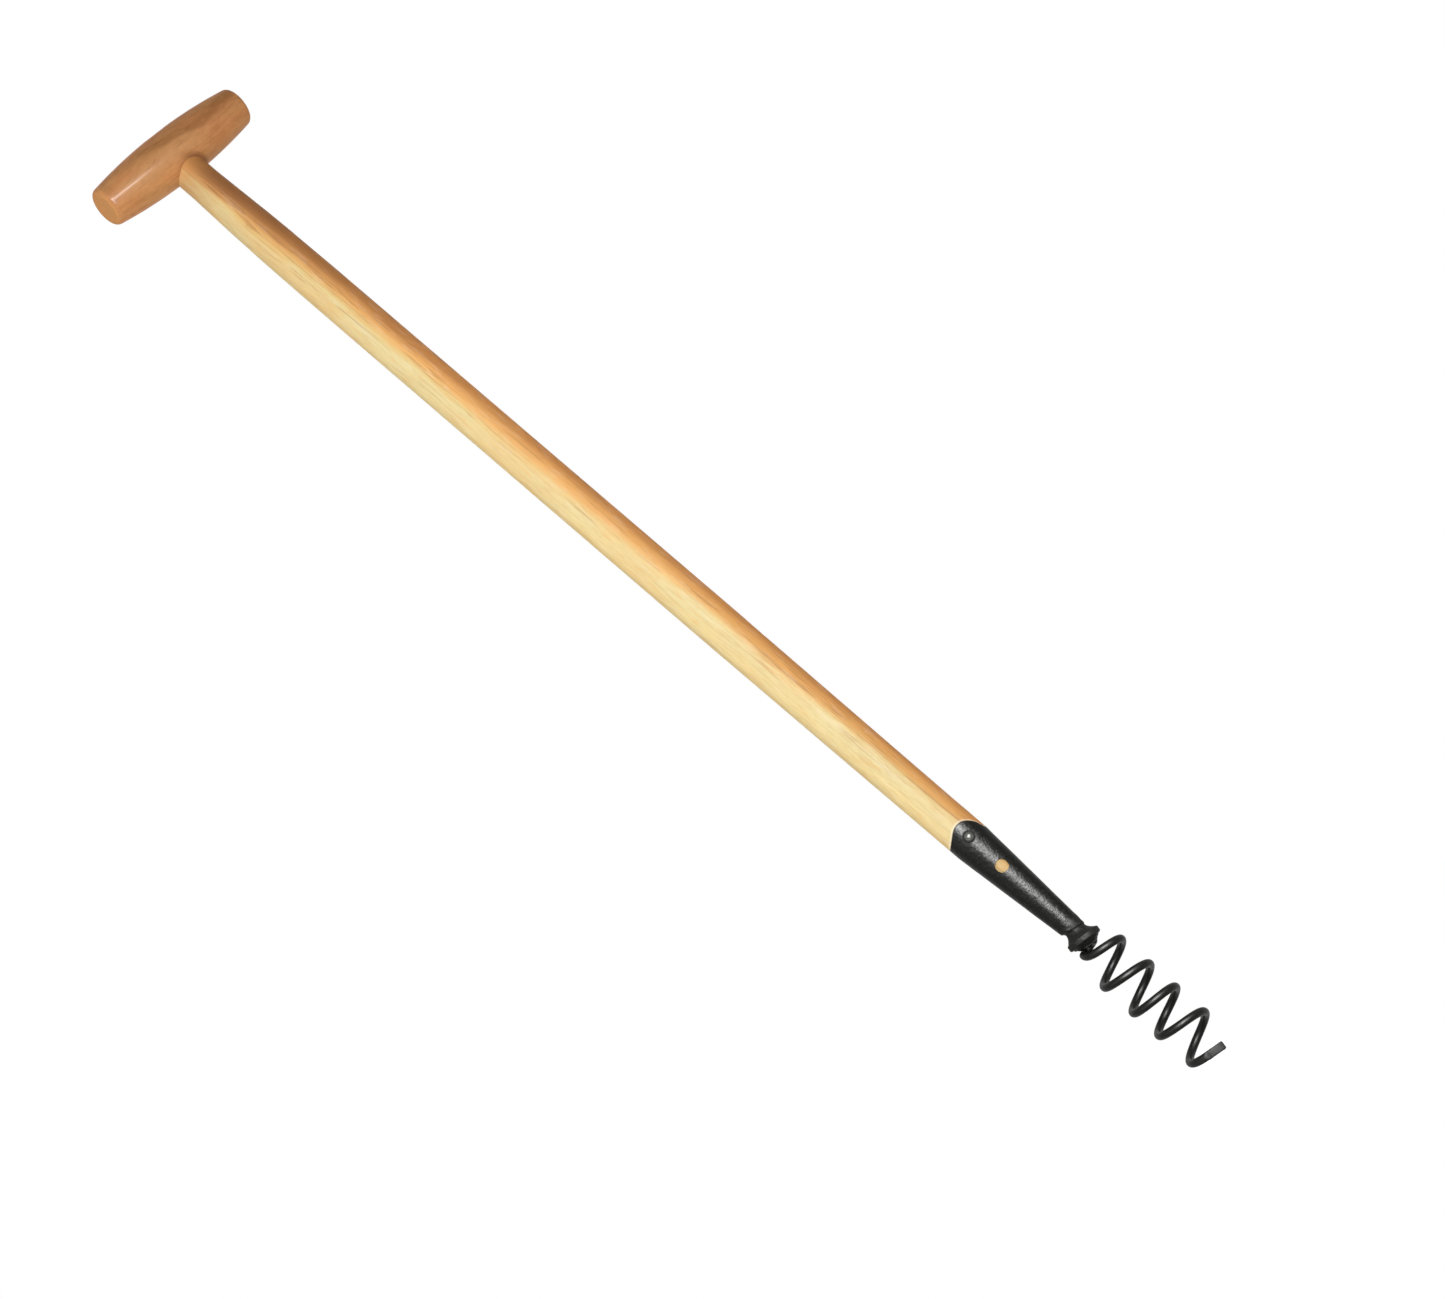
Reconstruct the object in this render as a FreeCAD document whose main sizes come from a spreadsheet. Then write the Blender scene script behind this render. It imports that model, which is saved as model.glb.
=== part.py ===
import FreeCAD, Part
import math, os
import Sketcher
from FreeCAD import Placement, Rotation, Vector

# Corkscrew weeder: a long hardwood shaft with a cross grip at the top, and a black steel socket
# with a coiled rod at the foot. The tool stands upright in its own frame, in millimetres.
# Origin: on the shaft's axis, level with the lowest point of the coil's tip.
# +Z runs up the shaft, +X along the cross grip, -Y towards the front.
# No piece moves on another, so the whole tool is one rigid body.

# Driving sizes: name, value, and what it is.
SIZES = (
    ("overall_height", 1016.0, "lowest point of the tip to the crest of the grip"),
    ("grip_length", 135.0, "end to end along X"),
    ("grip_middle_diameter", 41.0, "at the shaft"),
    ("grip_end_diameter", 30.0, "where the barrel curve meets the end faces"),
    ("grip_end_round", 4.0, "radius of the eased ends"),
    ("tenon_diameter", 26.6, "end of the shaft inside the grip"),
    ("tenon_glue_gap", 0.1, "bore of the grip over the tenon, on the radius"),
    ("tenon_trim", 0.2, "tenon and wedge below the grip's crest after sanding"),
    ("shaft_neck_length", 13.0, "straight neck showing under the grip"),
    ("upper_taper_length", 117.0, "curve from the neck to the full diameter"),
    ("shaft_diameter", 31.2, "straight middle of the shaft"),
    ("shaft_straight_length", 395.0, "length of that straight middle"),
    ("wedge_depth", 27.0, "wedge driven down from the grip's crest"),
    ("wedge_thickness", 3.2, "at the crest"),
    ("wedge_edge_thickness", 0.8, "at its lower edge"),
    ("wedge_side_gap", 0.3, "wedge ends short of the bore, on each side"),
    ("wedge_glue_gap", 0.05, "saw cut over the wedge, on each face"),
    ("socket_rim_diameter", 29.2, "flush with the shaft's foot"),
    ("socket_straight_length", 15.2, "crest to the cone"),
    ("socket_cone_length", 86.1, "down to the level foot"),
    ("socket_cone_foot_diameter", 17.8, "outside"),
    ("socket_foot_rise", 16.6, "level foot above the middle of the collar's face"),
    ("socket_shoulder_rise", 12.3, "middle of the shoulder, above the same"),
    ("socket_shoulder_diameter", 17.7, "where the cone ends, askew"),
    ("socket_neck_rise", 9.8, "middle of the neck, above the same"),
    ("socket_neck_diameter", 15.2, "narrowest place"),
    ("socket_neck_shift", 0.4, "neck to the right of the axis"),
    ("socket_waist_rise", 7.0, "middle of the flare, above the same"),
    ("socket_waist_diameter", 18.6, "halfway down the flare"),
    ("socket_wall", 1.9, "steel round the wood"),
    ("socket_floor_rise", 25.1, "floor of the bore above the middle of the collar's face"),
    ("spigot_clearance", 0.12, "wood inside the bore, on the radius"),
    ("spigot_end_gap", 1.0, "end of the wood above the bore's floor"),
    ("tongue_left_drop", 7.2, "rim at the left side below the tongue's crest"),
    ("tongue_right_drop", 14.5, "rim at the right side below the tongue's crest"),
    ("window_diameter", 10.0, "round hole that shows the wood"),
    ("window_drop", 41.3, "window below the tongue's crest"),
    ("rivet_drop", 11.4, "rivet below the tongue's crest"),
    ("rivet_shank_diameter", 4.8, "rivet in its holes"),
    ("rivet_hole_gap", 0.1, "holes over the shank, on the radius"),
    ("rivet_head_diameter", 7.8, "domed heads"),
    ("rivet_head_height", 2.2, "heads above the socket"),
    ("rivet_head_edge", 0.5, "upright edge of a head above the socket"),
    ("collar_diameter", 25.4, "flared foot of the socket"),
    ("collar_thickness", 4.8, "edge of the collar"),
    ("collar_shift", 0.8, "its middle to the left of the axis"),
    ("cup_diameter", 20.6, "hollow in the collar's face, filled by the weld"),
    ("cup_depth", 1.8, "of that hollow"),
    ("collar_edge_round", 1.3, "eased edges of the collar"),
    ("collar_tilt_degrees", 12.0, "collar askew, its right side lower"),
    ("metal_turn_degrees", 20.0, "tongue, rivet and coil turned from the front towards -X"),
    ("coil_length", 114.3, "tip to just under the collar"),
    ("collar_rise", 0.9, "lowest edge of the collar over that length"),
    ("coil_diameter", 38.1, "over the outside of the coil"),
    ("rod_diameter", 5.6, "round steel of the coil"),
    ("shank_length", 12.0, "rod inside the neck"),
    ("shank_gap", 0.15, "hole over the shank, on the radius"),
    ("shank_offset", 3.0, "shank to the right of the axis"),
    ("mouth_rise", 1.5, "wider mouth of that hole, above the middle of the collar's face"),
    ("mouth_gap", 0.9, "mouth over the rod, on the radius"),
    ("root_bend_radius", 4.5, "bend from the shank into the first turn"),
    ("root_drop", 2.0, "fall from that bend round to the left side"),
    ("root_side_radius", 9.1, "axis to the rod where it first comes to the left side"),
    ("tip_flat_length", 13.5, "hammered flat end"),
    ("tip_width", 6.6, "across the flat"),
    ("tip_thickness", 4.0, "through the flat"),
    ("tip_corner_round", 0.9, "eased corners of the flat"),
    ("weld_diameter", 22.0, "fillet on the collar's face"),
    ("weld_foot_diameter", 11.4, "its level foot round the rod"),
    ("weld_height", 3.1, "below the collar's face"),
    ("cut_overrun", 6.0, "cuts run past what they cut"),
)

# Shapes that carry no size of their own: shares of the sizes beside them.
TONGUE_LEFT_SHARE = 0.35     # tongue's rounded crest reaches this share of the rim's radius
TONGUE_LEFT_DROP_SHARE = 0.19
TONGUE_RIGHT_SHARE = 0.38
TONGUE_RIGHT_DROP_SHARE = 0.085
TONGUE_CREST_BULGE_SHARE = 0.24
TONGUE_SHOULDER_BULGE_SHARE = 0.236
TONGUE_SHOULDER_END_SHARE = 0.9
QUARTER_BULGE_SHARE = math.tan(math.pi / 8)
SHOULDER_TILT_SHARE = 1.5    # of the collar's tilt
NECK_TILT_SHARE = 1.4
WAIST_TILT_SHARE = 1.15
WELD_BULGE_SHARE = 0.08

# The coil falls from side to side, counter-clockwise seen from above: a left-hand helix.
# It first comes to the left side under the collar. Then come its heights at the sides, right
# first, as shares of the coil's length over the tip, and the part of a half turn left after them.
COIL_HAND = 1
SIDE_HEIGHT_SHARES = (0.8785, 0.767, 0.651, 0.533, 0.441, 0.327, 0.2115, 0.076)
LAST_HALF_TURN_SHARE = 0.655
COIL_LEFT_DEGREES = 174.0    # where the left side lies, in the metal's own turned frame
TINY_SHARE = 1e-5            # of a half turn, or of a chord, for directions
GAP_STEP_SHARE = 0.1         # step of the measured points, of the rod's diameter
COIL_LEFT = (math.cos(math.radians(COIL_LEFT_DEGREES)), math.sin(math.radians(COIL_LEFT_DEGREES)))

doc = FreeCAD.newDocument("corkscrew_weeder")
sheet = doc.addObject("Spreadsheet::Sheet", "Sizes")
for row, (name, number, meaning) in enumerate(SIZES, start=1):
    sheet.set(f"A{row}", str(number))
    sheet.setAlias(f"A{row}", name)
    sheet.set(f"B{row}", meaning)
doc.recompute()

# Heights and radii that several pieces share, as sums of the driving sizes.
GRIP_AXIS_Z = "(Sizes.overall_height - Sizes.grip_middle_diameter / 2)"
GRIP_UNDERSIDE_Z = "(Sizes.overall_height - Sizes.grip_middle_diameter)"
NECK_FOOT_Z = f"({GRIP_UNDERSIDE_Z} - Sizes.shaft_neck_length)"
STRAIGHT_TOP_Z = f"({NECK_FOOT_Z} - Sizes.upper_taper_length)"
STRAIGHT_FOOT_Z = f"({STRAIGHT_TOP_Z} - Sizes.shaft_straight_length)"
LOWEST_EDGE_Z = "(Sizes.coil_length + Sizes.collar_rise)"
FACE_Z = f"({LOWEST_EDGE_Z} + Sizes.collar_diameter / 2 * sin(Sizes.collar_tilt_degrees * 1 deg))"
CONE_FOOT_Z = f"({FACE_Z} + Sizes.socket_foot_rise)"
CONE_TOP_Z = f"({CONE_FOOT_Z} + Sizes.socket_cone_length)"
CREST_Z = f"({CONE_TOP_Z} + Sizes.socket_straight_length)"
FLOOR_Z = f"({FACE_Z} + Sizes.socket_floor_rise)"
RIVET_Z = f"({CREST_Z} - Sizes.rivet_drop)"
WINDOW_Z = f"({CREST_Z} - Sizes.window_drop)"
RIM_RADIUS = "(Sizes.socket_rim_diameter / 2)"
BORE_RIM_RADIUS = f"({RIM_RADIUS} - Sizes.socket_wall)"
CONE_SLOPE = ("((Sizes.socket_rim_diameter - Sizes.socket_cone_foot_diameter) / 2"
              " / Sizes.socket_cone_length)")
BORE_FLOOR_RADIUS = f"({BORE_RIM_RADIUS} - {CONE_SLOPE} * ({CONE_TOP_Z} - {FLOOR_Z}))"
RIVET_HOLE = "Sizes.rivet_shank_diameter + 2 * Sizes.rivet_hole_gap"
METAL_TURN = "Sizes.metal_turn_degrees"
COLLAR_TILT = "Sizes.collar_tilt_degrees"
COLLAR_PLACE = ("-Sizes.collar_shift", FACE_Z, "0")
SHANK_PLACE = tuple(f"-{share:.9f} * Sizes.shank_offset" for share in COIL_LEFT)


def value(text):
    """Number that a sum of sheet names gives."""
    return float(sheet.evalExpression(text))


def origin_plane(body, role):
    """The body's own origin plane with this role."""
    return next(item for item in body.Origin.OriginFeatures if item.Role == role)


def make_body(label):
    """An empty body whose label names its file."""
    body = doc.addObject("PartDesign::Body", label)
    body.Label = label
    return body


def make_sketch(body, name, role, axis=None, turn="0", shift=("0", "0", "0")):
    """An empty sketch on one of the body's origin planes, turned about one of its own axes and
    shifted along its own three, all by sheet sums."""
    sketch = body.newObject("Sketcher::SketchObject", name)
    sketch.AttachmentSupport = [(origin_plane(body, role), "")]
    sketch.MapMode = "FlatFace"
    if axis:
        place_at = Vector(*(value(text) for text in shift))
        sketch.AttachmentOffset = Placement(place_at, Rotation(axis, value(turn)))
        for letter, text in zip("xyz", shift):
            sketch.setExpression(f"AttachmentOffset.Base.{letter}", text)
        sketch.setExpression("AttachmentOffset.Rotation.Angle", f"({turn}) * 1 deg")
    return sketch


def arc_or_line(start, end, bulge):
    """Edge from start to end. Bulge is the tangent of a quarter of the arc's turn, with its sign:
    plus where the arc turns left. Gives the edge and which of its ends comes first."""
    if not bulge:
        return Part.LineSegment(start, end), (1, 2)
    chord = end - start
    radius = chord.Length * (1 + bulge ** 2) / (4 * abs(bulge))
    side = Vector(-chord.y, chord.x, 0).normalize()
    centre = (start + end) / 2 + side * (chord.Length * (1 - bulge ** 2) / (4 * bulge))
    first, last = (start, end) if bulge > 0 else (end, start)
    angles = [math.atan2(p.y - centre.y, p.x - centre.x) for p in (first, last)]
    arc = Part.ArcOfCircle(Part.Circle(centre, Vector(0, 0, 1), radius), *angles)
    return arc, (1, 2) if bulge > 0 else (2, 1)


def draw(sketch, corners):
    """Closed outline through corners, each held by its two distances from the sketch's origin.
    A corner is (x, y) or (x, y, bulge), in sheet sums; bulge bends the edge that follows it."""
    texts = [tuple(str(item) for item in corner) + ("0",) * (3 - len(corner)) for corner in corners]
    places = [Vector(value(x), value(y), 0) for x, y, _ in texts]
    count = len(texts)
    starts, ends = [], []
    for index, (x, y, bulge) in enumerate(texts):
        following = (index + 1) % count
        edge, (first, last) = arc_or_line(places[index], places[following], value(bulge))
        geometry = sketch.addGeometry(edge, False)
        starts.append((geometry, first))
        ends.append((geometry, last))
        if value(bulge):
            next_x, next_y, _ = texts[following]
            number = sketch.addConstraint(Sketcher.Constraint("Radius", geometry, edge.Radius))
            sketch.setExpression(
                f"Constraints[{number}]",
                f"hypot({next_x} - ({x}); {next_y} - ({y})) * (1 + ({bulge})^2) / (4 * abs({bulge}))")
    for index, (x, y, _) in enumerate(texts):
        sketch.addConstraint(Sketcher.Constraint("Coincident", *ends[index - 1], *starts[index]))
        hold(sketch, starts[index], x, y)


def hold(sketch, point, x, y):
    """Hold a point at sums x and y from the sketch's origin."""
    for kind, axis, text in (("DistanceX", -2, x), ("DistanceY", -1, y)):
        if text == "0":
            sketch.addConstraint(Sketcher.Constraint("PointOnObject", *point, axis))
        else:
            number = sketch.addConstraint(Sketcher.Constraint(kind, -1, 1, *point, value(text)))
            sketch.setExpression(f"Constraints[{number}]", text)


def draw_circle(sketch, x, y, diameter):
    """Circle of a diameter round the point x, y, all in sheet sums."""
    centre = Vector(value(x), value(y), 0)
    circle = Part.Circle(centre, Vector(0, 0, 1), value(diameter) / 2)
    geometry = sketch.addGeometry(circle, False)
    number = sketch.addConstraint(Sketcher.Constraint("Diameter", geometry, value(diameter)))
    sketch.setExpression(f"Constraints[{number}]", diameter)
    hold(sketch, (geometry, 3), x, y)


def revolve(body, sketch, axis):
    """Turn a sketch a full turn round one of its own axes."""
    turned = body.newObject("PartDesign::Revolution", f"{sketch.Name}_turned")
    turned.Profile = sketch
    turned.ReferenceAxis = (sketch, [axis])
    turned.Angle = 360
    doc.recompute()
    return turned


def cut_through(body, sketch, both_ways=True):
    """Pocket a sketch through the whole body, both ways or only along the sketch's normal."""
    before = body.Shape.Volume
    pocket = body.newObject("PartDesign::Pocket", f"{sketch.Name}_cut")
    pocket.Profile = sketch
    pocket.Type = "ThroughAll"
    if both_ways:
        pocket.SideType = "Symmetric"
    else:
        pocket.Reversed = True
    doc.recompute()
    if body.Shape.Volume >= before:
        raise RuntimeError(f"{sketch.Name} cuts nothing")
    return pocket


def place(item, turn="0", height="0"):
    """Turn a piece from the front towards -X and lift it, both by sheet sums."""
    item.Placement = Placement(Vector(0, 0, value(height)), Rotation(Vector(0, 0, -1), value(turn)))
    item.setExpression("Placement.Base.z", height)
    if value(turn):
        item.setExpression("Placement.Rotation.Angle", f"({turn}) * 1 deg")
    return item


def crest_outline(half_width):
    """Outline of what lies above the grip's crest, less the trim, across a band about the axis."""
    radius = "(Sizes.grip_middle_diameter / 2 - Sizes.tenon_trim)"
    rise = f"sqrt({radius}^2 - {half_width}^2)"
    bulge = f"(({radius} - {rise}) / {half_width})"
    top = f"({GRIP_AXIS_Z} + {radius} + Sizes.cut_overrun)"
    return ((f"-{half_width}", f"{GRIP_AXIS_Z} + {rise}", f"-{bulge}"),
            (half_width, f"{GRIP_AXIS_Z} + {rise}"),
            (half_width, top),
            (f"-{half_width}", top))


def rim_outline(closing):
    """The socket's rim from its left side over the tongue to its right side, closed at the height
    given: above it for the socket's cut, below it for the wood's."""
    reach = f"({RIM_RADIUS} + Sizes.cut_overrun)"
    left = f"{CREST_Z} - Sizes.tongue_left_drop"
    right = f"{CREST_Z} - Sizes.tongue_right_drop"
    return ((f"-{reach}", left),
            (f"-{RIM_RADIUS}", left),
            (f"-{TONGUE_LEFT_SHARE} * {RIM_RADIUS}",
             f"{CREST_Z} - {TONGUE_LEFT_DROP_SHARE} * Sizes.tongue_left_drop",
             -TONGUE_CREST_BULGE_SHARE),
            (f"{TONGUE_RIGHT_SHARE} * {RIM_RADIUS}",
             f"{CREST_Z} - {TONGUE_RIGHT_DROP_SHARE} * Sizes.tongue_right_drop",
             -TONGUE_SHOULDER_BULGE_SHARE),
            (f"{TONGUE_SHOULDER_END_SHARE} * {RIM_RADIUS}", right),
            (reach, right),
            (reach, closing),
            (f"-{reach}", closing))


def make_cross_grip():
    """Barrel turned about X, with eased ends and an upright bore for the tenon."""
    body = make_body("cross_grip")
    barrel = make_sketch(body, "grip_barrel", "XZ_Plane")
    half = "Sizes.grip_length / 2"
    sag = "(Sizes.grip_middle_diameter - Sizes.grip_end_diameter) / Sizes.grip_length"
    draw(barrel, ((f"-{half}", "0"),
                  (f"-{half}", "Sizes.grip_end_diameter / 2", f"-({sag})"),
                  (half, "Sizes.grip_end_diameter / 2"),
                  (half, "0")))
    turned = revolve(body, barrel, "H_Axis")
    limit = value(half) - value("Sizes.grip_end_round") / 2
    ends = [f"Edge{number}" for number, edge in enumerate(turned.Shape.Edges, start=1)
            if abs(edge.CenterOfMass.x) > limit and isinstance(edge.Curve, Part.Circle)]
    eased = body.newObject("PartDesign::Fillet", "grip_ends")
    eased.Base = (turned, ends)
    eased.setExpression("Radius", "Sizes.grip_end_round")
    doc.recompute()
    bore = make_sketch(body, "grip_bore", "XY_Plane")
    draw_circle(bore, "0", "0", "Sizes.tenon_diameter + 2 * Sizes.tenon_glue_gap")
    cut_through(body, bore)
    return place(body, height=GRIP_AXIS_Z)


def make_shaft():
    """Turned shaft: tenon and neck, curve, straight middle, slow taper, then the spigot."""
    body = make_body("shaft")
    stem = make_sketch(body, "shaft_stem", "XZ_Plane")
    step = "((Sizes.shaft_diameter - Sizes.tenon_diameter) / 2)"
    bend = f"((hypot({step}; Sizes.upper_taper_length) - Sizes.upper_taper_length) / {step})"
    foot = f"({CREST_Z} - Sizes.tongue_right_drop - Sizes.cut_overrun)"
    draw(stem, (("0", foot),
                (RIM_RADIUS, foot),
                (RIM_RADIUS, CREST_Z),
                ("Sizes.shaft_diameter / 2", STRAIGHT_FOOT_Z),
                ("Sizes.shaft_diameter / 2", STRAIGHT_TOP_Z, bend),
                ("Sizes.tenon_diameter / 2", NECK_FOOT_Z),
                ("Sizes.tenon_diameter / 2", "Sizes.overall_height"),
                ("0", "Sizes.overall_height")))
    revolve(body, stem, "V_Axis")
    rim = make_sketch(body, "shaft_rim", "XZ_Plane", Vector(0, -1, 0), METAL_TURN)
    draw(rim, rim_outline(f"{foot} - Sizes.cut_overrun"))
    cut_through(body, rim)
    spigot = make_sketch(body, "shaft_spigot", "XZ_Plane")
    end = f"({FLOOR_Z} + Sizes.spigot_end_gap)"
    upper = f"({BORE_RIM_RADIUS} - Sizes.spigot_clearance)"
    lower = f"({upper} - {CONE_SLOPE} * ({CONE_TOP_Z} - {end}))"
    draw(spigot, (("0", end),
                  (lower, end),
                  (upper, CONE_TOP_Z),
                  (upper, f"{CREST_Z} + Sizes.cut_overrun"),
                  ("0", f"{CREST_Z} + Sizes.cut_overrun")))
    revolve(body, spigot, "V_Axis")
    rivet_hole = make_sketch(body, "shaft_rivet_hole", "XZ_Plane", Vector(0, -1, 0), METAL_TURN)
    draw_circle(rivet_hole, "0", RIVET_Z, RIVET_HOLE)
    cut_through(body, rivet_hole)
    crest = make_sketch(body, "shaft_crest", "YZ_Plane")
    draw(crest, crest_outline("(Sizes.tenon_diameter / 2)"))
    cut_through(body, crest)
    kerf = make_sketch(body, "shaft_kerf", "XZ_Plane")
    draw(kerf, wedge_outline("Sizes.wedge_glue_gap"))
    cut_through(body, kerf)
    return place(body)


def wedge_outline(gap):
    """The wedge's taper in X and Z, wider by a gap on each face."""
    top = f"({GRIP_AXIS_Z} + Sizes.grip_middle_diameter / 2)"
    low = f"{top} - Sizes.wedge_depth"
    thick = f"(Sizes.wedge_thickness / 2 + {gap})"
    thin = f"(Sizes.wedge_edge_thickness / 2 + {gap})"
    return ((f"-{thin}", low), (thin, low), (thick, top), (f"-{thick}", top))


def make_tenon_wedge():
    """Wedge across the tenon, thick along X so that it spreads the tenon along the grip's grain."""
    body = make_body("tenon_wedge")
    taper = make_sketch(body, "wedge_taper", "XZ_Plane")
    draw(taper, wedge_outline("0"))
    pad = body.newObject("PartDesign::Pad", "wedge_blade")
    pad.Profile = taper
    pad.SideType = "Symmetric"
    pad.setExpression("Length", "Sizes.tenon_diameter - 2 * Sizes.wedge_side_gap")
    doc.recompute()
    crest = make_sketch(body, "wedge_crest", "YZ_Plane")
    draw(crest, crest_outline("(Sizes.tenon_diameter / 2)"))
    cut_through(body, crest)
    return place(body)


def make_socket():
    """Steel socket: cylinder and cone in one turned wall, then a shoulder, neck, flare and collar
    that lean over more and more, the tongued rim, the rivet's holes, the window, the shank's
    hole, and the hollow in the collar's face that the weld fills."""
    body = make_body("socket")
    wall = make_sketch(body, "socket_wall", "XZ_Plane")
    draw(wall, (("0", CONE_FOOT_Z),
                ("Sizes.socket_cone_foot_diameter / 2", CONE_FOOT_Z),
                (RIM_RADIUS, CONE_TOP_Z),
                (RIM_RADIUS, CREST_Z),
                (BORE_RIM_RADIUS, CREST_Z),
                (BORE_RIM_RADIUS, CONE_TOP_Z),
                (BORE_FLOOR_RADIUS, FLOOR_Z),
                ("0", FLOOR_Z)))
    revolve(body, wall, "V_Axis")
    top = f"Sizes.collar_thickness * cos({COLLAR_TILT} * 1 deg)"
    side = f"Sizes.collar_thickness * sin({COLLAR_TILT} * 1 deg) - Sizes.collar_shift"
    foot = make_ring(body, "foot", 0, "0", "Sizes.socket_foot_rise",
                     "Sizes.socket_cone_foot_diameter")
    shoulder = make_ring(body, "shoulder", SHOULDER_TILT_SHARE, "0",
                         "Sizes.socket_shoulder_rise", "Sizes.socket_shoulder_diameter")
    neck = make_ring(body, "neck", NECK_TILT_SHARE, "Sizes.socket_neck_shift",
                     "Sizes.socket_neck_rise", "Sizes.socket_neck_diameter")
    waist = make_ring(body, "waist", WAIST_TILT_SHARE, side, "Sizes.socket_waist_rise",
                      "Sizes.socket_waist_diameter")
    brim = make_ring(body, "brim", 1, side, top,
                     "Sizes.collar_diameter - 2 * Sizes.collar_edge_round")
    loft(body, "socket_cone_end", (foot, shoulder), ruled=True)
    loft(body, "socket_flare", (shoulder, neck, waist, brim), ruled=False)
    collar = make_sketch(body, "socket_collar", "XZ_Plane", Vector(0, 0, -1), COLLAR_TILT,
                         COLLAR_PLACE)
    edge = "Sizes.collar_diameter / 2"
    eased = "Sizes.collar_edge_round"
    thick = "Sizes.collar_thickness"
    draw(collar, (("0", "Sizes.cup_depth"),
                  ("Sizes.cup_diameter / 2", "Sizes.cup_depth"),
                  ("Sizes.cup_diameter / 2", "0"),
                  (f"{edge} - {eased}", "0", QUARTER_BULGE_SHARE),
                  (edge, eased),
                  (edge, f"{thick} - {eased}", QUARTER_BULGE_SHARE),
                  (f"{edge} - {eased}", thick),
                  ("0", thick)))
    revolve(body, collar, "V_Axis")
    rim = make_sketch(body, "socket_rim", "XZ_Plane")
    draw(rim, rim_outline(f"{CREST_Z} + Sizes.cut_overrun"))
    cut_through(body, rim)
    rivet_hole = make_sketch(body, "socket_rivet_hole", "XZ_Plane")
    draw_circle(rivet_hole, "0", RIVET_Z, RIVET_HOLE)
    cut_through(body, rivet_hole)
    window = make_sketch(body, "socket_window", "XZ_Plane")
    draw_circle(window, "0", WINDOW_Z, "Sizes.window_diameter")
    cut_through(body, window, both_ways=False)
    bore_up(body, "socket_shank_hole", "Sizes.shank_gap", "Sizes.shank_length")
    bore_up(body, "socket_shank_mouth", "Sizes.mouth_gap", "Sizes.mouth_rise")
    return place(body, turn=METAL_TURN)


def make_ring(body, name, tilt_share, shift, rise, diameter):
    """Circle that leans to the right by a share of the collar's tilt, its middle shifted to the
    right of the axis and raised over the middle of the collar's face."""
    ring = make_sketch(body, f"socket_{name}_ring", "XY_Plane", Vector(0, 1, 0),
                       f"{tilt_share} * {COLLAR_TILT}", (shift, "0", f"{FACE_Z} + {rise}"))
    draw_circle(ring, "0", "0", diameter)
    return ring


def loft(body, name, rings, ruled):
    """Steel through the rings, with straight or with flowing sides."""
    part = body.newObject("PartDesign::AdditiveLoft", name)
    part.Profile = rings[0]
    part.Sections = list(rings[1:])
    part.Ruled = ruled
    doc.recompute()


def bore_up(body, name, gap, rise):
    """Round hole for the rod's shank, from below to a rise above the middle of the collar's face."""
    hole = make_sketch(body, name, "XY_Plane")
    draw_circle(hole, *SHANK_PLACE, f"Sizes.rod_diameter + 2 * {gap}")
    before = body.Shape.Volume
    bored = body.newObject("PartDesign::Pocket", f"{name}_cut")
    bored.Profile = hole
    bored.Reversed = True
    bored.setExpression("Length", f"{FACE_Z} + {rise}")
    doc.recompute()
    if body.Shape.Volume >= before:
        raise RuntimeError(f"{name} cuts nothing")


def make_socket_rivet():
    """Rivet along Y: domed heads whose undersides fit the socket's round wall, and a shank."""
    blank = make_body("rivet_blank")
    outline = make_sketch(blank, "rivet_outline", "XY_Plane")
    radius = "Sizes.rivet_head_diameter / 2"
    shoulder = f"({RIM_RADIUS} + Sizes.rivet_head_edge)"
    dome = "(Sizes.rivet_head_height - Sizes.rivet_head_edge)"
    crown = f"({shoulder} + {dome})"
    bulge = f"((hypot({radius}; {dome}) - {radius}) / {dome})"
    draw(outline, (("0", f"-{crown}", f"{bulge}"),
                   (radius, f"-{shoulder}"),
                   (radius, shoulder, f"{bulge}"),
                   ("0", crown)))
    revolve(blank, outline, "V_Axis")
    inside = doc.addObject("Part::Cylinder", "rivet_inside")
    inside.setExpression("Radius", RIM_RADIUS)
    inside.setExpression("Height", "2 * Sizes.rivet_head_diameter")
    inside.setExpression("Placement.Base.z", "-Sizes.rivet_head_diameter")
    heads = doc.addObject("Part::Cut", "rivet_heads")
    heads.Base = blank
    heads.Tool = inside
    shank = doc.addObject("Part::Cylinder", "rivet_shank")
    shank.setExpression("Radius", "Sizes.rivet_shank_diameter / 2")
    shank.setExpression("Height", f"2 * {shoulder}")
    shank.Placement = Placement(Vector(0, -value(shoulder), 0), Rotation(Vector(-1, 0, 0), 90))
    shank.setExpression("Placement.Base.y", f"-{shoulder}")
    rivet = doc.addObject("Part::Fuse", "socket_rivet")
    rivet.Label = "socket_rivet"
    rivet.Base = heads
    rivet.Tool = shank
    rivet.Refine = True
    doc.recompute()
    return place(rivet, turn=METAL_TURN, height=RIVET_Z)


def size(name):
    """A driving size as a plain number."""
    return value(f"Sizes.{name}")


def tip_height():
    """Height of the centre line at the very tip: the flat hangs below it by half its width, less
    what the coil's slope takes off, so that its lower edge is at zero."""
    turns = LAST_HALF_TURN_SHARE * math.pi * coil_radius(1)
    slope = math.atan2(SIDE_HEIGHT_SHARES[-1] * size("coil_length"), turns)
    return size("tip_width") / 2 * math.cos(slope)


def shank_foot():
    """Height at which the rod leaves its straight shank, in the mouth of the hole."""
    return value(f"{FACE_Z} + Sizes.mouth_rise")


def coil_radius(half_turn):
    """Radius of the rod's centre line: it eases from its first left side out to the full coil."""
    full = (size("coil_diameter") - size("rod_diameter")) / 2
    first = size("root_side_radius")
    u = min(half_turn, 1)
    return first + (full - first) * u * u * (3 - 2 * u)


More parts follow.
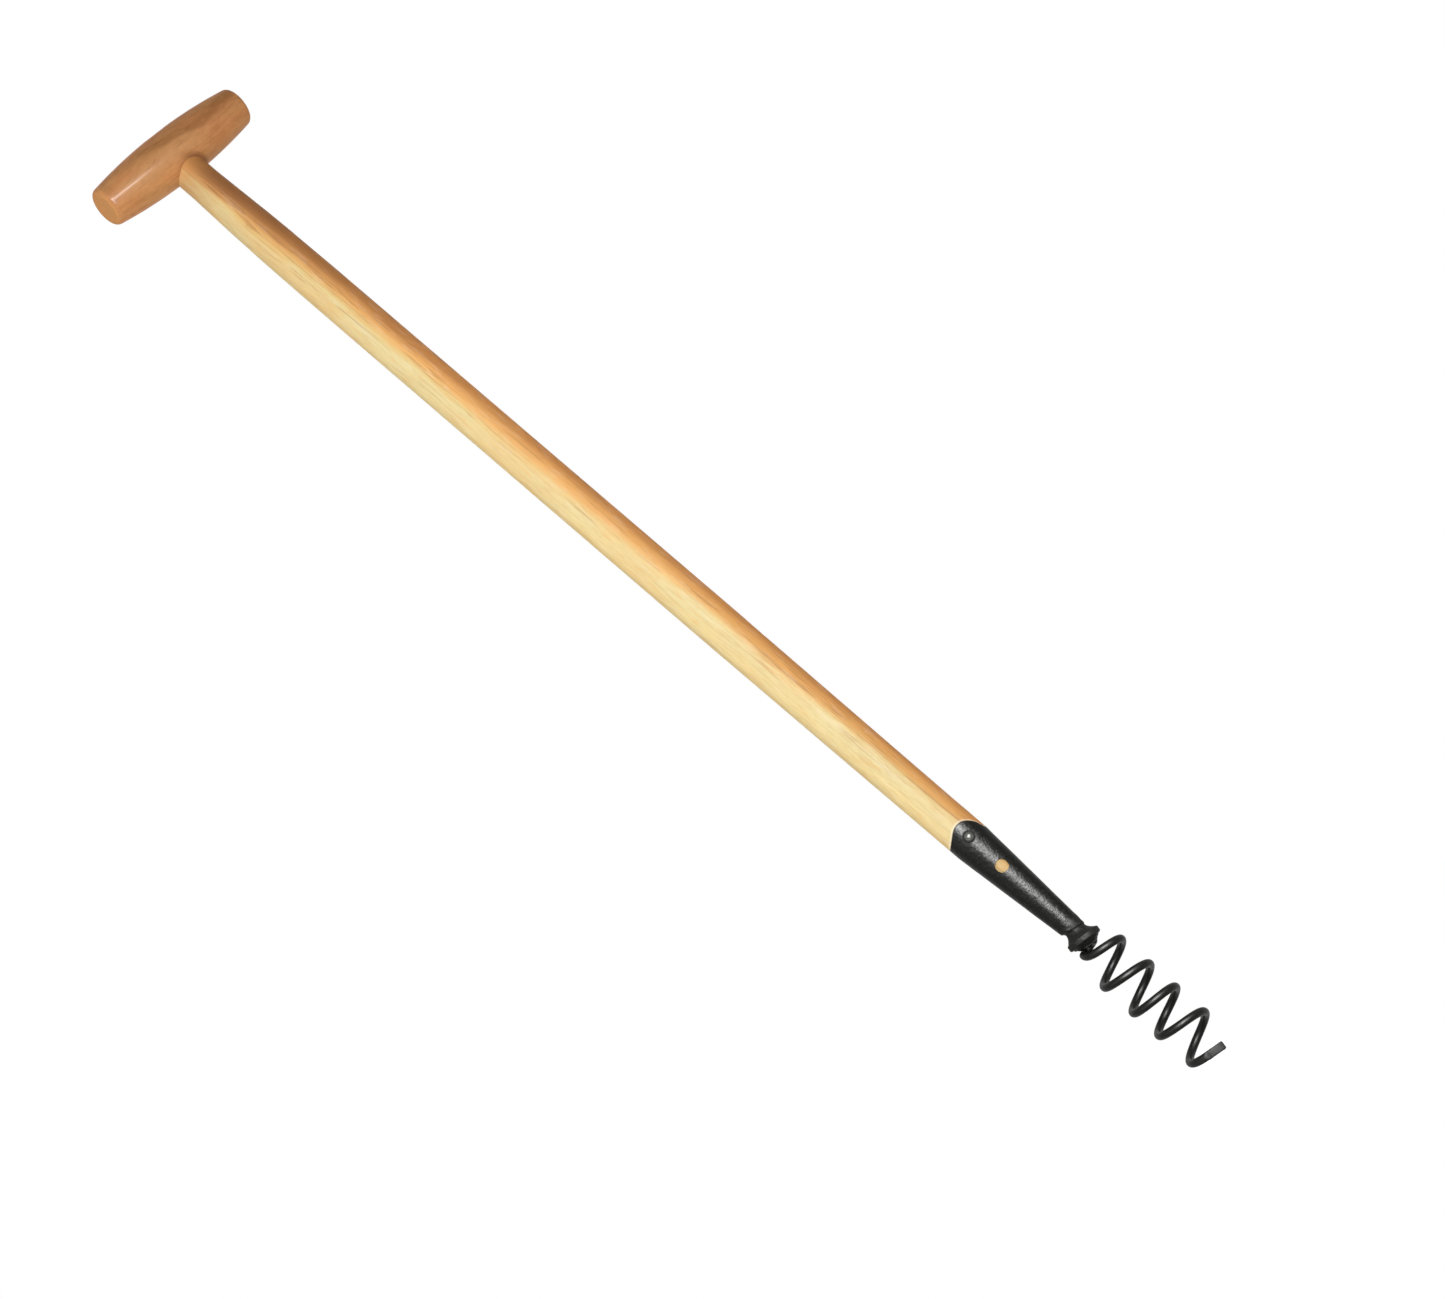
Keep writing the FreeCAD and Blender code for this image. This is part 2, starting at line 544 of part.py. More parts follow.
def coil_height(half_turn):
    """Height of the rod's centre line: a cubic through its heights at the sides and at the tip,
    whose slope at a knot is the mean of the slopes on both sides of it."""
    low = tip_height()
    last = len(SIDE_HEIGHT_SHARES)
    knots = list(range(last + 1)) + [last + LAST_HALF_TURN_SHARE]
    first = shank_foot() - size("root_bend_radius") - size("root_drop")
    sides = [low + share * (size("coil_length") - low) for share in SIDE_HEIGHT_SHARES]
    heights = [first] + sides + [low]
    steps = [(heights[i + 1] - heights[i]) / (knots[i + 1] - knots[i]) for i in range(last + 1)]
    slopes = [steps[0]] + [(a + b) / 2 for a, b in zip(steps, steps[1:])] + [steps[-1]]
    index = min(int(half_turn), last)
    width = knots[index + 1] - knots[index]
    u = (half_turn - knots[index]) / width
    return ((1 + 2 * u) * (1 - u) ** 2 * heights[index]
            + u * (1 - u) ** 2 * width * slopes[index]
            + u ** 2 * (3 - 2 * u) * heights[index + 1]
            + u ** 2 * (u - 1) * width * slopes[index + 1])


def coil_point(half_turn):
    """Point of the rod's centre line, a number of half turns after its first left side."""
    turn = math.radians(COIL_LEFT_DEGREES) + COIL_HAND * math.pi * half_turn
    radius = coil_radius(half_turn)
    return Vector(radius * math.cos(turn), radius * math.sin(turn), coil_height(half_turn))


def coil_knot(half_turn):
    """Point and direction of the centre line; the direction is that of a very short chord."""
    here = coil_point(half_turn)
    return here, (coil_point(half_turn + TINY_SHARE) - here).normalize()


def root_knots():
    """Knots from the shank's top to just before the first left side: straight down the shank,
    round to the back, and round in a half circle towards the left side."""
    left = Vector(*COIL_LEFT, 0)
    back = Vector(COIL_HAND * COIL_LEFT[1], -COIL_HAND * COIL_LEFT[0], 0)
    down = Vector(0, 0, -1)
    shank = Vector(0, 0, shank_foot()) - left * size("shank_offset")
    bend = size("root_bend_radius")
    half_span = (size("shank_offset") + size("root_side_radius")) / 2
    drop = size("root_drop")
    gentle = down * (drop / 2 / half_span)
    corner = shank + down * bend + back * bend
    middle = corner + left * half_span + back * half_span + down * (drop / 2)
    top = Vector(shank.x, shank.y, value(f"{FACE_Z} + Sizes.shank_length"))
    return [(top, down),
            (shank, down),
            (corner, (back + gentle).normalize()),
            (middle, (left + gentle).normalize())]


def arc_from(start, direction, end):
    """Arc or line from start, leaving in a direction, to end, and its radius."""
    chord = end - start
    across = direction - chord * (direction.dot(chord) / chord.Length ** 2)
    sine = across.Length
    if sine < TINY_SHARE:
        return Part.LineSegment(start, end), math.inf
    sagitta = chord.Length / 2 * math.tan(math.asin(min(sine, 1)) / 2)
    middle = (start + end) / 2 + across * (sagitta / sine)
    return Part.Arc(start, middle, end), chord.Length / (2 * sine)


def biarc(first, second):
    """Two arcs between two knots that keep both directions, and the smaller radius."""
    (start, leaving), (end, arriving) = first, second
    chord = end - start
    both = leaving + arriving
    spread = 2 * (1 - leaving.dot(arriving))
    along = chord.dot(both)
    if spread < TINY_SHARE ** 2:
        return [Part.LineSegment(start, end)], math.inf
    reach = (math.sqrt(along ** 2 + spread * chord.dot(chord)) - along) / spread
    joint = (start + leaving * reach + end - arriving * reach) / 2
    one, one_radius = arc_from(start, leaving, joint)
    other, other_radius = arc_from(end, arriving * -1, joint)
    turned = Part.Arc(joint, other.value((other.FirstParameter + other.LastParameter) / 2), end)
    return [one, turned], min(one_radius, other_radius)


def smooth_wire(knots):
    """One wire of arcs through the knots, and the smallest radius on it."""
    edges, radii = [], []
    for first, second in zip(knots, knots[1:]):
        pieces, radius = biarc(first, second)
        edges += [piece.toShape() for piece in pieces]
        radii.append(radius)
    return Part.Wire(edges), min(radii)


def make_route(name, knots):
    """The wire as an object of the document; prints its tightest radius."""
    wire, radius = smooth_wire(knots)
    print(f"{name}: length {wire.Length:.1f}, tightest radius {radius:.2f}")
    route = doc.addObject("Part::Feature", name)
    route.Shape = wire
    return route


def least_gap(wire):
    """Least gap between two stretches of the rod that are over a quarter turn apart on the wire,
    measured between points on its centre line, less the rod's diameter."""
    count = round(wire.Length / (size("rod_diameter") * GAP_STEP_SHARE))
    points = wire.discretize(Number=count + 1)
    apart = round(count * math.pi * size("root_side_radius") / 2 / wire.Length)
    return min((a - b).Length for i, a in enumerate(points)
               for b in points[i + apart:]) - size("rod_diameter")


def sweep(name, section, route):
    """Solid of a closed section carried along a route."""
    swept = doc.addObject("Part::Sweep", name)
    swept.Sections = [section]
    swept.Spine = (route, [f"Edge{number}" for number in range(1, len(route.Shape.Edges) + 1)])
    swept.Solid = True
    swept.Frenet = False
    return swept


def flat_section(knot):
    """Rounded oblong square to the route: thin towards the axis, wide along the tool."""
    here, forward = knot
    outward = Vector(here.x, here.y, 0).normalize()
    up = outward.cross(forward).normalize()
    outward = forward.cross(up).normalize()
    half_thick, half_wide = size("tip_thickness") / 2, size("tip_width") / 2
    ease = size("tip_corner_round")
    cut = ease * (1 - math.sqrt(0.5))
    edges = []
    corners = ((1, 1), (-1, 1), (-1, -1), (1, -1))
    for index, (a, b) in enumerate(corners):
        before = (a * half_thick, b * (half_wide - ease))
        middle = (a * (half_thick - cut), b * (half_wide - cut))
        after = (a * (half_thick - ease), b * half_wide)
        if a * b < 0:
            before, after = after, before
        points = [here + outward * x + up * y for x, y in (before, middle, after)]
        if edges:
            edges.append(Part.LineSegment(previous, points[0]).toShape())
        edges.append(Part.Arc(*points).toShape())
        previous = points[2]
        if index == 0:
            first = points[0]
    edges.append(Part.LineSegment(previous, first).toShape())
    section = doc.addObject("Part::Feature", "tip_section")
    section.Shape = Part.Wire(edges)
    return section


def make_corkscrew():
    """One rod: shank, root bend and coil of round steel, then the hammered flat tip."""
    end = len(SIDE_HEIGHT_SHARES) + LAST_HALF_TURN_SHARE
    flat_share = size("tip_flat_length") / (math.pi * coil_radius(1))
    quarters = [number / 2 for number in range(int(2 * (end - flat_share)) + 1)]
    flat_start = coil_knot(end - flat_share)
    knots = root_knots() + [coil_knot(quarter) for quarter in quarters] + [flat_start]
    route = make_route("rod_route", knots)
    print(f"rod_route: least gap between its turns {least_gap(route.Shape):.2f} mm")
    top = knots[0][0]
    circle = doc.addObject("Part::Circle", "rod_section")
    circle.setExpression("Radius", "Sizes.rod_diameter / 2")
    circle.Placement = Placement(top, Rotation(Vector(0, 0, 1), 0))
    rod = sweep("rod_round", circle, route)
    flat_knots = [coil_knot(end), coil_knot(end - flat_share / 2), flat_start]
    upwards = [(point, direction * -1) for point, direction in flat_knots]
    tip = sweep("rod_tip", flat_section(upwards[0]), make_route("tip_route", upwards))
    whole = doc.addObject("Part::Fuse", "corkscrew")
    whole.Label = "corkscrew"
    whole.Base = rod
    whole.Tool = tip
    doc.recompute()
    return place(whole, turn=METAL_TURN), rod


def make_root_weld(rod):
    """Weld that fills the hollow in the collar's face and stands below it as a fillet, cut to
    the rod that runs through it."""
    blank = make_body("weld_blank")
    bead = make_sketch(blank, "weld_bead", "XZ_Plane", Vector(0, 0, -1), COLLAR_TILT,
                       COLLAR_PLACE)
    draw(bead, (("0", "Sizes.cup_depth"),
                ("0", "-Sizes.weld_height"),
                ("Sizes.weld_foot_diameter / 2", "-Sizes.weld_height", WELD_BULGE_SHARE),
                ("Sizes.weld_diameter / 2", "0"),
                ("Sizes.cup_diameter / 2", "0"),
                ("Sizes.cup_diameter / 2", "Sizes.cup_depth")))
    revolve(blank, bead, "V_Axis")
    weld = doc.addObject("Part::Cut", "root_weld")
    weld.Label = "root_weld"
    weld.Base = blank
    weld.Tool = rod
    doc.recompute()
    return place(weld, turn=METAL_TURN)


corkscrew, round_rod = make_corkscrew()
pieces = [make_cross_grip(), make_shaft(), make_tenon_wedge(), make_socket(), make_socket_rivet(),
          corkscrew, make_root_weld(round_rod)]
doc.recompute()

for item in doc.Objects:
    if any(word in state for state in item.State for word in ("Invalid", "Error")):
        raise RuntimeError(f"{item.Name} failed: {item.State}")
os.makedirs("parts", exist_ok=True)
for piece in pieces:
    if piece.Shape.isNull() or not piece.Shape.isValid():
        raise RuntimeError(f"{piece.Label} has no valid shape")
    piece.Shape.exportStep(f"parts/{piece.Label}.step")
    box = piece.Shape.BoundBox
    print(f"{piece.Label}: {len(piece.Shape.Solids)} solid, {piece.Shape.Volume:.0f} mm3, "
          f"z {box.ZMin:.2f} to {box.ZMax:.2f}")
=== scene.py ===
"""Looks of the corkscrew weeder: lacquered wood, black coated steel, studio and camera.

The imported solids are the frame. The grip, shaft, wedge and rivet keep their solids and get new
finishes. The socket, the coiled rod and the weld are made again as surfaces of two parameters,
with the unevenness of forged and welded steel, in the places that their solids hold. Surfaces
are worked out in millimetres in the metal's own frame, materials in metres in the tool's.
"""
import logging
from dataclasses import dataclass
from enum import Enum
from typing import Callable, Sequence

import bpy
import numpy as np
from mathutils import Matrix, Vector


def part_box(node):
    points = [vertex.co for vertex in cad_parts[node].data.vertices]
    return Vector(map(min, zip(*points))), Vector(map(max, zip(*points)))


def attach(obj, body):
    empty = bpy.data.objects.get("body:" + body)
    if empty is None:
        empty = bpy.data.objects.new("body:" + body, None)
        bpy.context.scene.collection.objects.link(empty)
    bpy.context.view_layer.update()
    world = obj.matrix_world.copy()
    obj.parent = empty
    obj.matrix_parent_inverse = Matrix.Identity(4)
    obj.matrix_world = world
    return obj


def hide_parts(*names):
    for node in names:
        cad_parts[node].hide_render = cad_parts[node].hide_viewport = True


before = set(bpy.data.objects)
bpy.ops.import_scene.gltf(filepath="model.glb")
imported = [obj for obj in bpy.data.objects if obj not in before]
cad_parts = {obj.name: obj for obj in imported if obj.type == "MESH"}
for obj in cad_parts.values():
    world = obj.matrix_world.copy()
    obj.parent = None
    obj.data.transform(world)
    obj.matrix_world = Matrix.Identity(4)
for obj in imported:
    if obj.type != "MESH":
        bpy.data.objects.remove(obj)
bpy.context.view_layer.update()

LOG = logging.getLogger("corkscrew_weeder")
MM = 0.001
PER_METRE = 1000.0  # millimetres in a metre
TAU = 2.0 * np.pi
WOOD_INDEX = 1.07  # low, so that the wood's faces stay brown where light grazes them
POLE_RADIUS = 0.02  # millimetres: the ring round a pole, small enough to look like a point
Array = np.ndarray
Colour = tuple[float, float, float]
Span = tuple[float, float]
Pieces = list[bpy.types.Object]


# Shader sums


class Field:
    """A shader value or colour that takes part in Python sums; each sum adds one node."""

    def __init__(self, maker: "NodeMaker", socket: bpy.types.NodeSocket) -> None:
        """Keep the socket and the maker of the nodes that follow it."""
        self.maker = maker
        self.socket = socket

    def _math(self, operation: str, *values: "Field | float") -> "Field":
        """Result of one Math node on this value and others."""
        return self.maker.node("ShaderNodeMath", {"operation": operation}, [self, *values])

    def __add__(self, other: "Field | float") -> "Field":
        """Sum."""
        return self._math("ADD", other)

    __radd__ = __add__

    def __mul__(self, other: "Field | float") -> "Field":
        """Product."""
        return self._math("MULTIPLY", other)

    __rmul__ = __mul__

    def __sub__(self, other: "Field | float") -> "Field":
        """Difference."""
        return self._math("SUBTRACT", other)

    def __rsub__(self, other: float) -> "Field":
        """Difference from a number."""
        return self._math("MULTIPLY", -1.0)._math("ADD", other)

    def __truediv__(self, other: "Field | float") -> "Field":
        """Quotient."""
        return self._math("DIVIDE", other)

    def __abs__(self) -> "Field":
        """Value without its sign."""
        return self._math("ABSOLUTE")

    def sine(self) -> "Field":
        """Sine of an angle in radians."""
        return self._math("SINE")

    def root(self) -> "Field":
        """Square root."""
        return self._math("SQRT")

    def least(self, other: "Field | float") -> "Field":
        """The smaller of two values."""
        return self._math("MINIMUM", other)

    def most(self, other: "Field | float") -> "Field":
        """The larger of two values."""
        return self._math("MAXIMUM", other)

    def rise(self, start: float, end: float) -> "Field":
        """Smooth step from 0 at start to 1 at end.

        Args:
            start: Value where the step leaves 0.
            end: Value where it reaches 1; may be below start.

        Returns:
            The step.
        """
        flip = end < start
        low, high = (end, start) if flip else (start, end)
        step = self.maker.node("ShaderNodeMapRange", {"interpolation_type": "SMOOTHSTEP"},
                               {"Value": self, "From Min": low, "From Max": high})
        return 1.0 - step if flip else step


class NodeMaker:
    """Makes the nodes of one material or world."""

    def __init__(self, tree: bpy.types.NodeTree) -> None:
        """Empty the tree and keep it."""
        tree.nodes.clear()
        self.tree = tree

    def node(self, kind: str, settings: dict | None = None,
             inputs: "dict | Sequence | None" = None, output: int | str = 0) -> "Field | None":
        """Add a node, set its settings, then the values or links of its sockets.

        Args:
            kind: Type name of the node.
            settings: Properties by name; "stops" gives a ramp's (place, colour) pairs.
            inputs: Values or fields, by socket name or in order.
            output: Which output the result reads.

        Returns:
            The chosen output, or None where the node has none.
        """
        made = self.tree.nodes.new(kind)
        for name, value in (settings or {}).items():
            if name == "stops":
                self._stops(made.color_ramp, value)
            else:
                setattr(made, name, value)
        pairs = inputs.items() if isinstance(inputs, dict) else enumerate(inputs or ())
        for key, value in pairs:
            socket = made.inputs[key]
            if isinstance(value, Field):
                self.tree.links.new(value.socket, socket)
            else:
                socket.default_value = value
        return Field(self, made.outputs[output]) if made.outputs else None

    @staticmethod
    def _stops(ramp: bpy.types.ColorRamp, stops: Sequence[tuple[float, Colour]]) -> None:
        """Put a ramp's stops at their places.

        Args:
            ramp: A new ramp, which has two stops.
            stops: Places from 0 to 1 and their colours, two or more.
        """
        while len(ramp.elements) < len(stops):
            ramp.elements.new(1.0)
        for element, (place, colour) in zip(ramp.elements, stops):
            element.position = place
            element.color = (*colour, 1.0)

    @staticmethod
    def _four(colour: "Field | Colour") -> "Field | tuple":
        """A plain colour with its alpha, or a field as it is."""
        return colour if isinstance(colour, Field) else (*colour, 1.0)

    def mix(self, share: "Field | float", first: "Field | Colour",
            second: "Field | Colour") -> Field:
        """Blend of two colours: share 0 gives the first one and 1 the second."""
        return self.node("ShaderNodeMix", {"data_type": "RGBA"},
                         {0: share, 6: self._four(first), 7: self._four(second)}, output=2)

    def layers(self, colour: "Field | Colour",
               *coats: "tuple[Field | float, Field | Colour]") -> Field:
        """Colour under a number of see-through coats.

        Args:
            colour: Colour under them all.
            coats: Pairs of a share, from 0 to 1, and a colour, the lowest first.

        Returns:
            The colour seen from above: each coat is mixed by its share into what is below.
        """
        for share, tone in coats:
            colour = self.mix(share, colour, tone)
        return colour

    def place(self) -> Field:
        """Object coordinates, which here are metres in the tool's own frame."""
        return self.node("ShaderNodeTexCoord", output="Object")

    def moved(self, vector: Field, scale: Colour = (1.0, 1.0, 1.0),
              turn: float = 0.0) -> Field:
        """Coordinates stretched along the axes and turned about Z by radians."""
        return self.node("ShaderNodeMapping", None,
                         {"Vector": vector, "Rotation": (0.0, 0.0, turn), "Scale": scale})

    def axes(self, vector: Field) -> tuple[Field, Field, Field]:
        """The three numbers of a vector.

        Args:
            vector: Coordinates.

        Returns:
            Its x, y and z.
        """
        split = self.node("ShaderNodeSeparateXYZ", None, [vector])
        outputs = split.socket.node.outputs
        return tuple(Field(self, outputs[name]) for name in "XYZ")

    def noise(self, vector: Field, scale: float, detail: float, roughness: float,
              distortion: float = 0.0, stretch: Colour | None = None) -> Field:
        """Noise about 0.5.

        Args:
            vector: Coordinates.
            scale: Lumps in a metre.
            detail: Finer and finer layers.
            roughness: Weight of the finer layers.
            distortion: How much the lumps are pulled about.
            stretch: Factor on each axis; a small one makes long lumps along it.

        Returns:
            The noise.
        """
        if stretch:
            vector = self.moved(vector, stretch)
        return self.node("ShaderNodeTexNoise", None,
                         {"Vector": vector, "Scale": scale, "Detail": detail,
                          "Roughness": roughness, "Distortion": distortion})

    def shader(self, colour: Field, roughness: Field, height: Field, relief: float,
               others: dict) -> None:
        """Close the tree with one Principled shader.

        Args:
            colour: Base colour.
            roughness: Roughness.
            height: Height for the bump, in metres.
            relief: Strength of the bump, 0 to 1.
            others: Other sockets' values or fields by name.
        """
        bump = self.node("ShaderNodeBump", None,
                         {"Strength": relief, "Distance": 1.0, "Height": height})
        surface = self.node("ShaderNodeBsdfPrincipled", None,
                            {"Base Color": colour, "Roughness": roughness, **others,
                             "Normal": bump})
        self.node("ShaderNodeOutputMaterial", None, {"Surface": surface})


def new_material(name: str) -> tuple[bpy.types.Material, NodeMaker]:
    """An empty material and the maker of its nodes.

    Args:
        name: Name of the material.

    Returns:
        The material and the maker.
    """
    material = bpy.data.materials.new(name)
    material.use_nodes = True
    return material, NodeMaker(material.node_tree)


# Finishes


@dataclass(frozen=True)
class RimLine:
    """The socket's rim as depths under its crest over its width, in metres."""

    turn: float
    radius: float
    crest: float
    widths: tuple[float, ...]
    drops: tuple[float, ...]

    def above(self, nodes: NodeMaker, place: Field) -> Field:
        """Height over the rim in metres.

        Args:
            nodes: Maker of the material's nodes.
            place: Object coordinates.

        Returns:
            Height over the rim at this place round the shaft, negative under it.
        """
        across, _, up = nodes.axes(nodes.moved(place, turn=self.turn))
        deepest = max(self.drops)
        stops = [((width / self.radius + 1.0) / 2.0, (drop / deepest,) * 3)
                 for width, drop in zip(self.widths, self.drops)]
        share = (across / self.radius + 1.0) * 0.5
        drop = nodes.node("ShaderNodeValToRGB", {"stops": stops}, [share])
        return up - self.crest + drop * deepest


@dataclass(frozen=True)
class ShaftWood:
    """Lacquered ash, pale sapwood with a flank of orange heartwood, bare in a band at the steel,
    with painted shade towards the grip and a painted shadow at the rim.

    The heartwood's flank is where the cosine of the angle round the shaft, from the flank's
    middle, is high. It is the wood's own tone, but its deepest brown at the far edge is painted
    shade. The places of the tones are that cosine, moved from -1..1 to 0..1. A span is where a
    change starts and ends, in metres: upper to joint are heights in the tool, bare_top to inside
    are heights over the socket's rim, and end_depth is under the top.
    """

    rim: RimLine
    top: float
    flank_degrees: float = -32.0
    # drift and the crown span move the flank's tones up the shaft: painted shade towards the
    # grip.
    drift: float = 0.30
    upper: Span = (0.18, 0.86)
    crown_shade: Span = (0.80, 0.96)
    near_grip: Span = (0.70, 0.985)
    neck: Span = (0.925, 0.975)
    joint: Span = (0.955, 0.983)
    bare_top: Span = (0.0021, 0.0014)
    bare_foot: Span = (0.0002, 0.0005)
    rim_shadow_top: Span = (0.00045, 0.0001)
    rim_shadow_foot: Span = (-0.0012, -0.0002)
    inside: Span = (-0.010, -0.014)
    end_depth: Span = (-0.0016, -0.0004)
    ring_pitch: float = 0.0021
    # The last stops, at the flank's far edge, are darker brown: painted shade. The rest is the
    # wood's own tone.
    tones: tuple[tuple[float, Colour], ...] = (
        (0.00, (0.790, 0.600, 0.280)),
        (0.25, (0.830, 0.665, 0.325)),
        (0.42, (0.770, 0.632, 0.320)),
        (0.56, (0.755, 0.625, 0.318)),
        (0.67, (0.760, 0.570, 0.245)),
        (0.73, (0.800, 0.490, 0.180)),
        (0.82, (0.850, 0.440, 0.140)),
        (0.92, (0.820, 0.395, 0.125)),
        (1.00, (0.700, 0.300, 0.092)),
    )
    streak: Colour = (0.430, 0.190, 0.070)
    shade: Colour = (0.300, 0.120, 0.045)
    bare: Colour = (0.900, 0.790, 0.620)
    # gap is the colour of a painted shadow of the steel's edge, a thin dark line at the rim.
    gap: Colour = (0.060, 0.036, 0.022)
    end_grain: Colour = (0.450, 0.240, 0.100)
    covered: Colour = (0.790, 0.500, 0.195)
    amber: Colour = (0.640, 0.290, 0.085)
    warm: Colour = (0.800, 0.420, 0.140)
    glow: Colour = (0.840, 0.470, 0.160)

    def material(self) -> bpy.types.Material:
        """The finish as a material.

        Returns:
            The material. Its noises run many times longer along the shaft than across it.
        """
        material, nodes = new_material("shaft_wood_lacquered")
        place = nodes.place()
        x, y, z = nodes.axes(place)
        radius = (x * x + y * y).root()
        a = np.radians(self.flank_degrees)
        cloud = nodes.noise(place, 30.0, 2.0, 0.5, 0.0, (1.0, 1.0, 0.30))
        streak = nodes.noise(place, 420.0, 4.0, 0.66, 0.4, (1.0, 1.0, 0.040))
        fibre = nodes.noise(place, 1500.0, 2.0, 0.6, 0.0, (1.0, 1.0, 0.030))
        fleck = nodes.noise(place, 800.0, 2.0, 0.6, 0.0, (1.0, 1.0, 0.12))
        blotch = nodes.noise(place, 330.0, 3.0, 0.6, 0.3, (1.0, 1.0, 0.16))
        round_it = (x * np.cos(a) + y * np.sin(a)) / radius
        upper = z.rise(*self.upper)
        # The flank's place climbs with height by drift and the crown span: painted shade towards
        # the grip.
        flank = (round_it + upper * self.drift + z.rise(*self.crown_shade) * 0.13
                 + (cloud - 0.5) * 0.34 + (streak - 0.5) * 0.30)
        tones = nodes.node("ShaderNodeValToRGB", {"stops": self.tones}, [flank * 0.5 + 0.5])
        # Late wood: thin darker lines, closest where orange and pale meet.
        meet = flank.rise(-0.15, 0.35) * flank.rise(1.10, 0.60)
        near = z.rise(*self.near_grip)
        lines = streak.rise(0.52, 0.66) * (meet * 0.36 + 0.16 + near * 0.24)
        grain = (fibre - 0.5) * 0.36 + fleck.rise(0.46, 0.72) * 0.16 + 0.01
        # Painted shade: the shaft darker near the grip, most on the flank.
        grime = near * (0.08 + flank.rise(0.30, 1.10) * 0.85)
        above = self.rim.above(nodes, place)
        band = above.rise(*self.bare_top) * above.rise(*self.bare_foot)
        # Painted shadow of the steel's edge: a thin dark line where the wood meets the rim.
        rim_shadow_mask = above.rise(*self.rim_shadow_top) * above.rise(*self.rim_shadow_foot)
        tip = z.rise(*(self.top + depth for depth in self.end_depth))
        rings = ((radius * (TAU / self.ring_pitch)).sine() * 0.5 + 0.5) * 0.5
        colour = nodes.layers(
            tones,
            (lines, self.streak),
            (grain.most(0.0), self.streak),
            (blotch.rise(0.52, 0.70) * 0.30, self.warm),
            (blotch.rise(0.48, 0.34) * 0.14, self.bare),
            (cloud.rise(0.48, 0.62) * (upper * 0.22 + 0.06), self.glow),
            (grime, self.shade),
            (z.rise(*self.neck) * 0.46, self.streak),
            (z.rise(*self.joint) * 0.45, self.amber),
            (band * 0.62, self.bare),
            (rim_shadow_mask * 0.85, self.gap),
            (above.rise(*self.inside) * 0.75, self.covered),
            (tip * 0.8, nodes.mix(rings, self.end_grain, self.streak)))
        rough = 0.42 + (fleck - 0.5) * 0.50 + band * 0.25 + tip * 0.12
        height = fibre * 0.00003 + streak * 0.00006 + fleck * 0.00004
        nodes.shader(colour, rough, height, 0.6,
                     {"Specular IOR Level": 0.7, "IOR": WOOD_INDEX})
        return material


